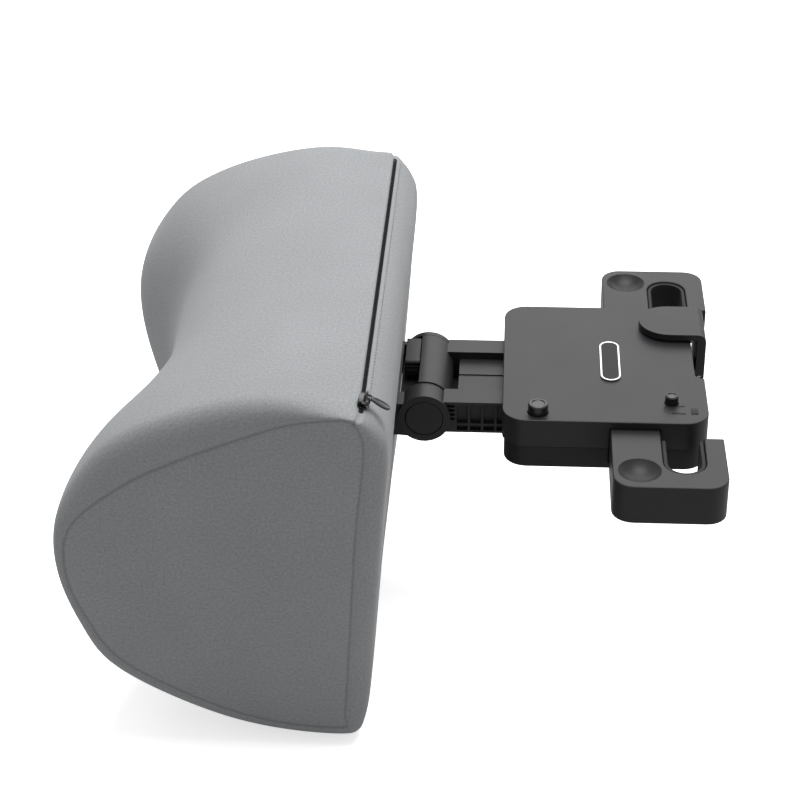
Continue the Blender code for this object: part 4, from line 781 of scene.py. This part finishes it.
def plate(bm, outline, low, high, rounding):
    """A flat plate between two heights with rounded edges, in mm."""
    verts = [bm.verts.new(Vector((x, y, low)) * MM) for x, y in outline]
    face = bmesh.ops.contextual_create(bm, geom=verts)["faces"][0]
    grown = bmesh.ops.extrude_face_region(bm, geom=[face], use_keep_orig=True)["geom"]
    top = [item for item in grown if isinstance(item, bmesh.types.BMVert)]
    bmesh.ops.translate(bm, vec=Vector((0, 0, high - low)) * MM, verts=top)
    rims = [edge for vert in verts + top for edge in vert.link_edges
            if (edge.verts[0] in top) == (edge.verts[1] in top)]
    bmesh.ops.bevel(bm, geom=list(dict.fromkeys(rims)), offset=rounding * MM, segments=2, affect="EDGES",
                    profile=0.5, material=-1)


def ring_wire(bm, radius, wire, angle, matrix, steps=20):
    """A round wire bent about local Z through an angle, starting on local X."""
    upright = matrix @ shift(radius, 0, 0) @ Matrix.Rotation(math.radians(90), 4, "X")
    made = bmesh.ops.create_circle(bm, cap_ends=angle < 2 * math.pi, segments=8, radius=wire * MM,
                                   matrix=upright)
    geom = made["verts"] + list(dict.fromkeys(edge for vert in made["verts"] for edge in vert.link_edges))
    geom += list(dict.fromkeys(face for vert in made["verts"] for face in vert.link_faces))
    bmesh.ops.spin(bm, geom=geom, cent=matrix.translation, axis=matrix.to_3x3() @ Vector((0, 0, 1)),
                   angle=angle, steps=steps, use_merge=angle >= 2 * math.pi)


lacquered_zinc, tree = new_material("zinc_die_cast_black_lacquer")
place = add_node(tree, "ShaderNodeTexCoord")
wear = add_node(tree, "ShaderNodeTexNoise", {"Scale": 1.0 / LACQUER_WEAR, "Detail": 4.0},
                {"Vector": place.outputs["Object"]})
tint = add_node(tree, "ShaderNodeMix", links={"Factor": wear.outputs["Fac"]}, data_type="RGBA")
tint.inputs["A"].default_value = linear("#0c0c0d")
tint.inputs["B"].default_value = linear("#19191b")
gloss = add_node(tree, "ShaderNodeMapRange", {"To Min": 0.22, "To Max": 0.4}, {"Value": wear.outputs["Fac"]})
shader = add_node(tree, "ShaderNodeBsdfPrincipled",
                  {"Metallic": 0.0, "Specular IOR Level": 0.35, "Coat Weight": 0.15, "Coat Roughness": 0.15},
                  {"Base Color": tint.outputs["Result"], "Roughness": gloss.outputs["Result"]})
add_node(tree, "ShaderNodeOutputMaterial", links={"Surface": shader.outputs[0]})

slider_place = zip_place(SLIDER_Y)
bm = bmesh.new()
plate(bm, SHOULDERS, PLATE_LOW, PLATE_HIGH, SLIDER_ROUND)
plate(bm, [(x * UNDER_ACROSS, y * UNDER_ALONG) for x, y in SHOULDERS], UNDER_LOW, UNDER_HIGH, UNDER_ROUND)
plate(bm, DIVIDER, DIVIDER_LOW, PLATE_LOW + ARCH_SINK, DIVIDER_ROUND)
arch_foot = shift(0, 0, PLATE_HIGH - ARCH_SINK) @ Matrix.Rotation(math.radians(90), 4, "Y")
arch_start = len(bm.verts)
ring_wire(bm, ARCH_HALF, ARCH_WIRE, math.pi, arch_foot @ Matrix.Rotation(math.radians(90), 4, "Z"))
bm.verts.ensure_lookup_table()
for vert in bm.verts[arch_start:]:
    height = vert.co.z - (PLATE_HIGH - ARCH_SINK) * MM
    vert.co.z += height * ARCH_STRETCH
bmesh.ops.transform(bm, matrix=slider_place, verts=bm.verts[:])
new_piece("zip_slider_casting", bm, lacquered_zinc, "zip_slider", ("zip_slider",))

puller_place = Matrix.Translation(PULLER_EYE) @ Matrix.Rotation(REST_LEAN + PULLER_HANG, 4, "Y")
bm = bmesh.new()
leaf = list(LEAF) + [(x, -y) for x, y in reversed(LEAF)]
plate(bm, leaf, -LEAF_HALF_THICK, LEAF_HALF_THICK, LEAF_ROUND)
bm.faces.ensure_lookup_table()
for face in [face for face in bm.faces if abs(face.normal.z) > 0.99 and face.calc_area() > LEAF_BROAD]:
    bmesh.ops.inset_region(bm, faces=[face], thickness=LEAF_BORDER, depth=0.0)
    bmesh.ops.inset_region(bm, faces=[face], thickness=LEAF_SLOPE, depth=LEAF_DISH)
link_start = len(bm.verts)
ring_wire(bm, LINK_RADIUS, LINK_WIRE, 2 * math.pi, shift(LINK_RADIUS * LINK_STRETCH, 0, 0), 24)
bm.verts.ensure_lookup_table()
for vert in bm.verts[link_start:]:
    vert.co.x *= LINK_STRETCH
bmesh.ops.transform(bm, matrix=puller_place, verts=bm.verts[:])
new_piece("zip_puller_leaf", bm, lacquered_zinc, "zip_puller", ("zip_puller",))


# Push buttons: smoother black plastic, taken as polished ABS. Each is a round stud that stands on its cover,
# broad over the arm and a small pin over the jaws.

BUTTON_ROUND = 0.25 * MM

for node in ("arm_button", "jaw_button"):
    softened(node, BUTTON_ROUND, abs_smooth)


# Badge: a stadium-shaped plate with a bare sunk field, taken as chromed ABS with its field lacquered black.
# It reads as a dark pill in a thin silver line.

BADGE_ROUND = 0.12 * MM
BADGE_FIELD_SINK = 0.15 * MM
CHROME_HAZE = 1.2 * MM

chromed_abs, tree = new_material("abs_chrome_plated_satin")
place = add_node(tree, "ShaderNodeTexCoord")
haze = add_node(tree, "ShaderNodeTexNoise", {"Scale": 1.0 / CHROME_HAZE, "Detail": 3.0},
                {"Vector": place.outputs["Object"]})
gloss = add_node(tree, "ShaderNodeMapRange", {"To Min": 0.16, "To Max": 0.3}, {"Value": haze.outputs["Fac"]})
shader = add_node(tree, "ShaderNodeBsdfPrincipled", {"Base Color": linear("#c4c6c8"), "Metallic": 1.0},
                  {"Roughness": gloss.outputs["Result"]})
add_node(tree, "ShaderNodeOutputMaterial", links={"Surface": shader.outputs[0]})
field_print = moulded_plastic("pad_printed_gloss_black_lacquer", "#0b0b0c", "#101011", 0.4, 0.12, 0.003)

badge = softened("badge_plate", BADGE_ROUND, chromed_abs)
badge.data.materials.append(field_print)
badge_top = max(vert.co.z for vert in badge.data.vertices)
for face in badge.data.polygons:
    if face.normal.z > 0.9 and face.center.z < badge_top - BADGE_FIELD_SINK:
        face.material_index = 1


# Lock sign: beside the small button the cover bears a moulded sign. Here it is a generic open arrow and a
# catch, shown as nearly flush strokes that are darker and duller than the cover.

SIGN_PLACE = Vector((-4.5, -45.0, 0.0))
SIGN_RADIUS = 3.4
SIGN_LINE = 0.75
SIGN_PROUD = 0.1
SIGN_ROUND = 0.15 * MM
SIGN_TURN = math.radians(85)
SIGN_BOW = math.radians(190)
SIGN_BARS = (((3.4, 3.4), (6.8, 1.5)), ((3.4, -3.4), (6.8, 1.5)), ((11.2, -1.4), (3.6, 6.0)))

cover_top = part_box("top_cover")[1].z
sign_frame = Matrix.Translation(SIGN_PLACE * MM + Vector((0, 0, cover_top - (SIGN_LINE - SIGN_PROUD) * MM)))
bm = bmesh.new()
ring_wire(bm, SIGN_RADIUS, SIGN_LINE, SIGN_BOW, sign_frame @ Matrix.Rotation(SIGN_TURN, 4, "Z"))
for (x, y), (length, width) in SIGN_BARS:
    stroke = Matrix.Diagonal((length * MM, width * MM, 2 * SIGN_LINE * MM, 1.0))
    bar = bmesh.ops.create_cube(bm, size=1.0, matrix=sign_frame @ shift(x, y, 0.0) @ stroke)["verts"]
    rims = list(dict.fromkeys(edge for vert in bar for edge in vert.link_edges))
    bmesh.ops.bevel(bm, geom=rims, offset=SIGN_ROUND, segments=2, affect="EDGES", profile=0.5, material=-1)
new_piece("lock_sign", bm, field_print, "housing")


# Post liners: thin sleeves in the jaws' slots, taken as moulded black rubber that grips the posts.
# They are dull beside the plastic, with a finely pitted skin.

LINER_ROUND = 0.3 * MM
RUBBER_PITS = 0.6 * MM
RUBBER_BLOOM = 9.0 * MM

rubber, tree = new_material("epdm_rubber_compression_moulded")
place = add_node(tree, "ShaderNodeTexCoord")
pits = add_node(tree, "ShaderNodeTexNoise", {"Scale": 1.0 / RUBBER_PITS, "Detail": 3.0},
                {"Vector": place.outputs["Object"]})
bloom = add_node(tree, "ShaderNodeTexNoise", {"Scale": 1.0 / RUBBER_BLOOM},
                 {"Vector": place.outputs["Object"]})
tint = add_node(tree, "ShaderNodeMix", links={"Factor": bloom.outputs["Fac"]}, data_type="RGBA")
tint.inputs["A"].default_value = linear("#131313")
tint.inputs["B"].default_value = linear("#1e1e1f")
relief = add_node(tree, "ShaderNodeBump", {"Strength": 0.4, "Distance": 0.03 * MM},
                  {"Height": pits.outputs["Fac"]})
shader = add_node(tree, "ShaderNodeBsdfPrincipled", {"Roughness": 0.72, "Specular IOR Level": 0.3},
                  {"Base Color": tint.outputs["Result"], "Normal": relief.outputs["Normal"]})
add_node(tree, "ShaderNodeOutputMaterial", links={"Surface": shader.outputs[0]})
for node in ("left_jaw_liner", "right_jaw_liner"):
    softened(node, LINER_ROUND, rubber)


# Steel parts: screws, the lever's pin, the hinge axle and two small button springs. The picture shows none,
# and they are taken as zinc-plated, or drawn wire, pale and a little patchy, with fine rings from tools.

STEEL_PATCHES = 2.5 * MM


def bright_steel(name, dark, pale, low, high, grain):
    """A metal with a patchy tint and fine tool marks in its gloss and relief."""
    material, tree = new_material(name)
    place = add_node(tree, "ShaderNodeTexCoord")
    patches = add_node(tree, "ShaderNodeTexNoise", {"Scale": 1.0 / STEEL_PATCHES, "Detail": 3.0},
                       {"Vector": place.outputs["Object"]})
    tint = add_node(tree, "ShaderNodeMix", links={"Factor": patches.outputs["Fac"]}, data_type="RGBA")
    tint.inputs["A"].default_value = linear(dark)
    tint.inputs["B"].default_value = linear(pale)
    gloss = add_node(tree, "ShaderNodeMapRange", {"To Min": low, "To Max": high},
                     {"Value": patches.outputs["Fac"]})
    marks = add_node(tree, "ShaderNodeTexWave", {"Scale": WAVE_PERIOD / grain, "Distortion": 0.6},
                     {"Vector": place.outputs["Object"]}, wave_type="RINGS", rings_direction="Z")
    relief = add_node(tree, "ShaderNodeBump", {"Strength": 0.25, "Distance": 0.01 * MM},
                      {"Height": marks.outputs["Fac"]})
    shader = add_node(tree, "ShaderNodeBsdfPrincipled", {"Metallic": 1.0},
                      {"Base Color": tint.outputs["Result"], "Roughness": gloss.outputs["Result"],
                       "Normal": relief.outputs["Normal"]})
    add_node(tree, "ShaderNodeOutputMaterial", links={"Surface": shader.outputs[0]})
    return material


zinc_plated = bright_steel("steel_cold_formed_zinc_plated", "#9b9ea3", "#c0c3c8", 0.28, 0.42, 0.3 * MM)
spring_steel = bright_steel("spring_steel_drawn_wire", "#7e8083", "#a6a8ab", 0.25, 0.35, 0.2 * MM)


# Pinion and back board: both are hidden inside, and their plastics are guesses. The pinion is milky, waxy
# acetal, and the board in the pillow's back is grey polypropylene with a soft sheen.

natural_acetal = moulded_plastic("acetal_hobbed_natural", "#d9d6cd", "#e6e3da", 0.34, 0.4, 0.006)
grey_polypropylene = moulded_plastic("polypropylene_injection_moulded_grey", "#55575a", "#5f6164", 0.5, 0.3)

finish_of_slot = {"black_plastic": abs_grained, "badge": chromed_abs, "liner_rubber": rubber,
                  "steel": zinc_plated, "gear_plastic": natural_acetal, "board": grey_polypropylene,
                  "foam": knit, "cover_cloth": knit, "zip_tape": zip_tape_cloth, "zip_metal": lacquered_zinc}
for node, obj in frame["nodes"].items():
    finish = spring_steel if node.endswith("_spring") else finish_of_slot[slot_of_node[node]]
    for material_slot in obj.material_slots:
        material_slot.material = finish
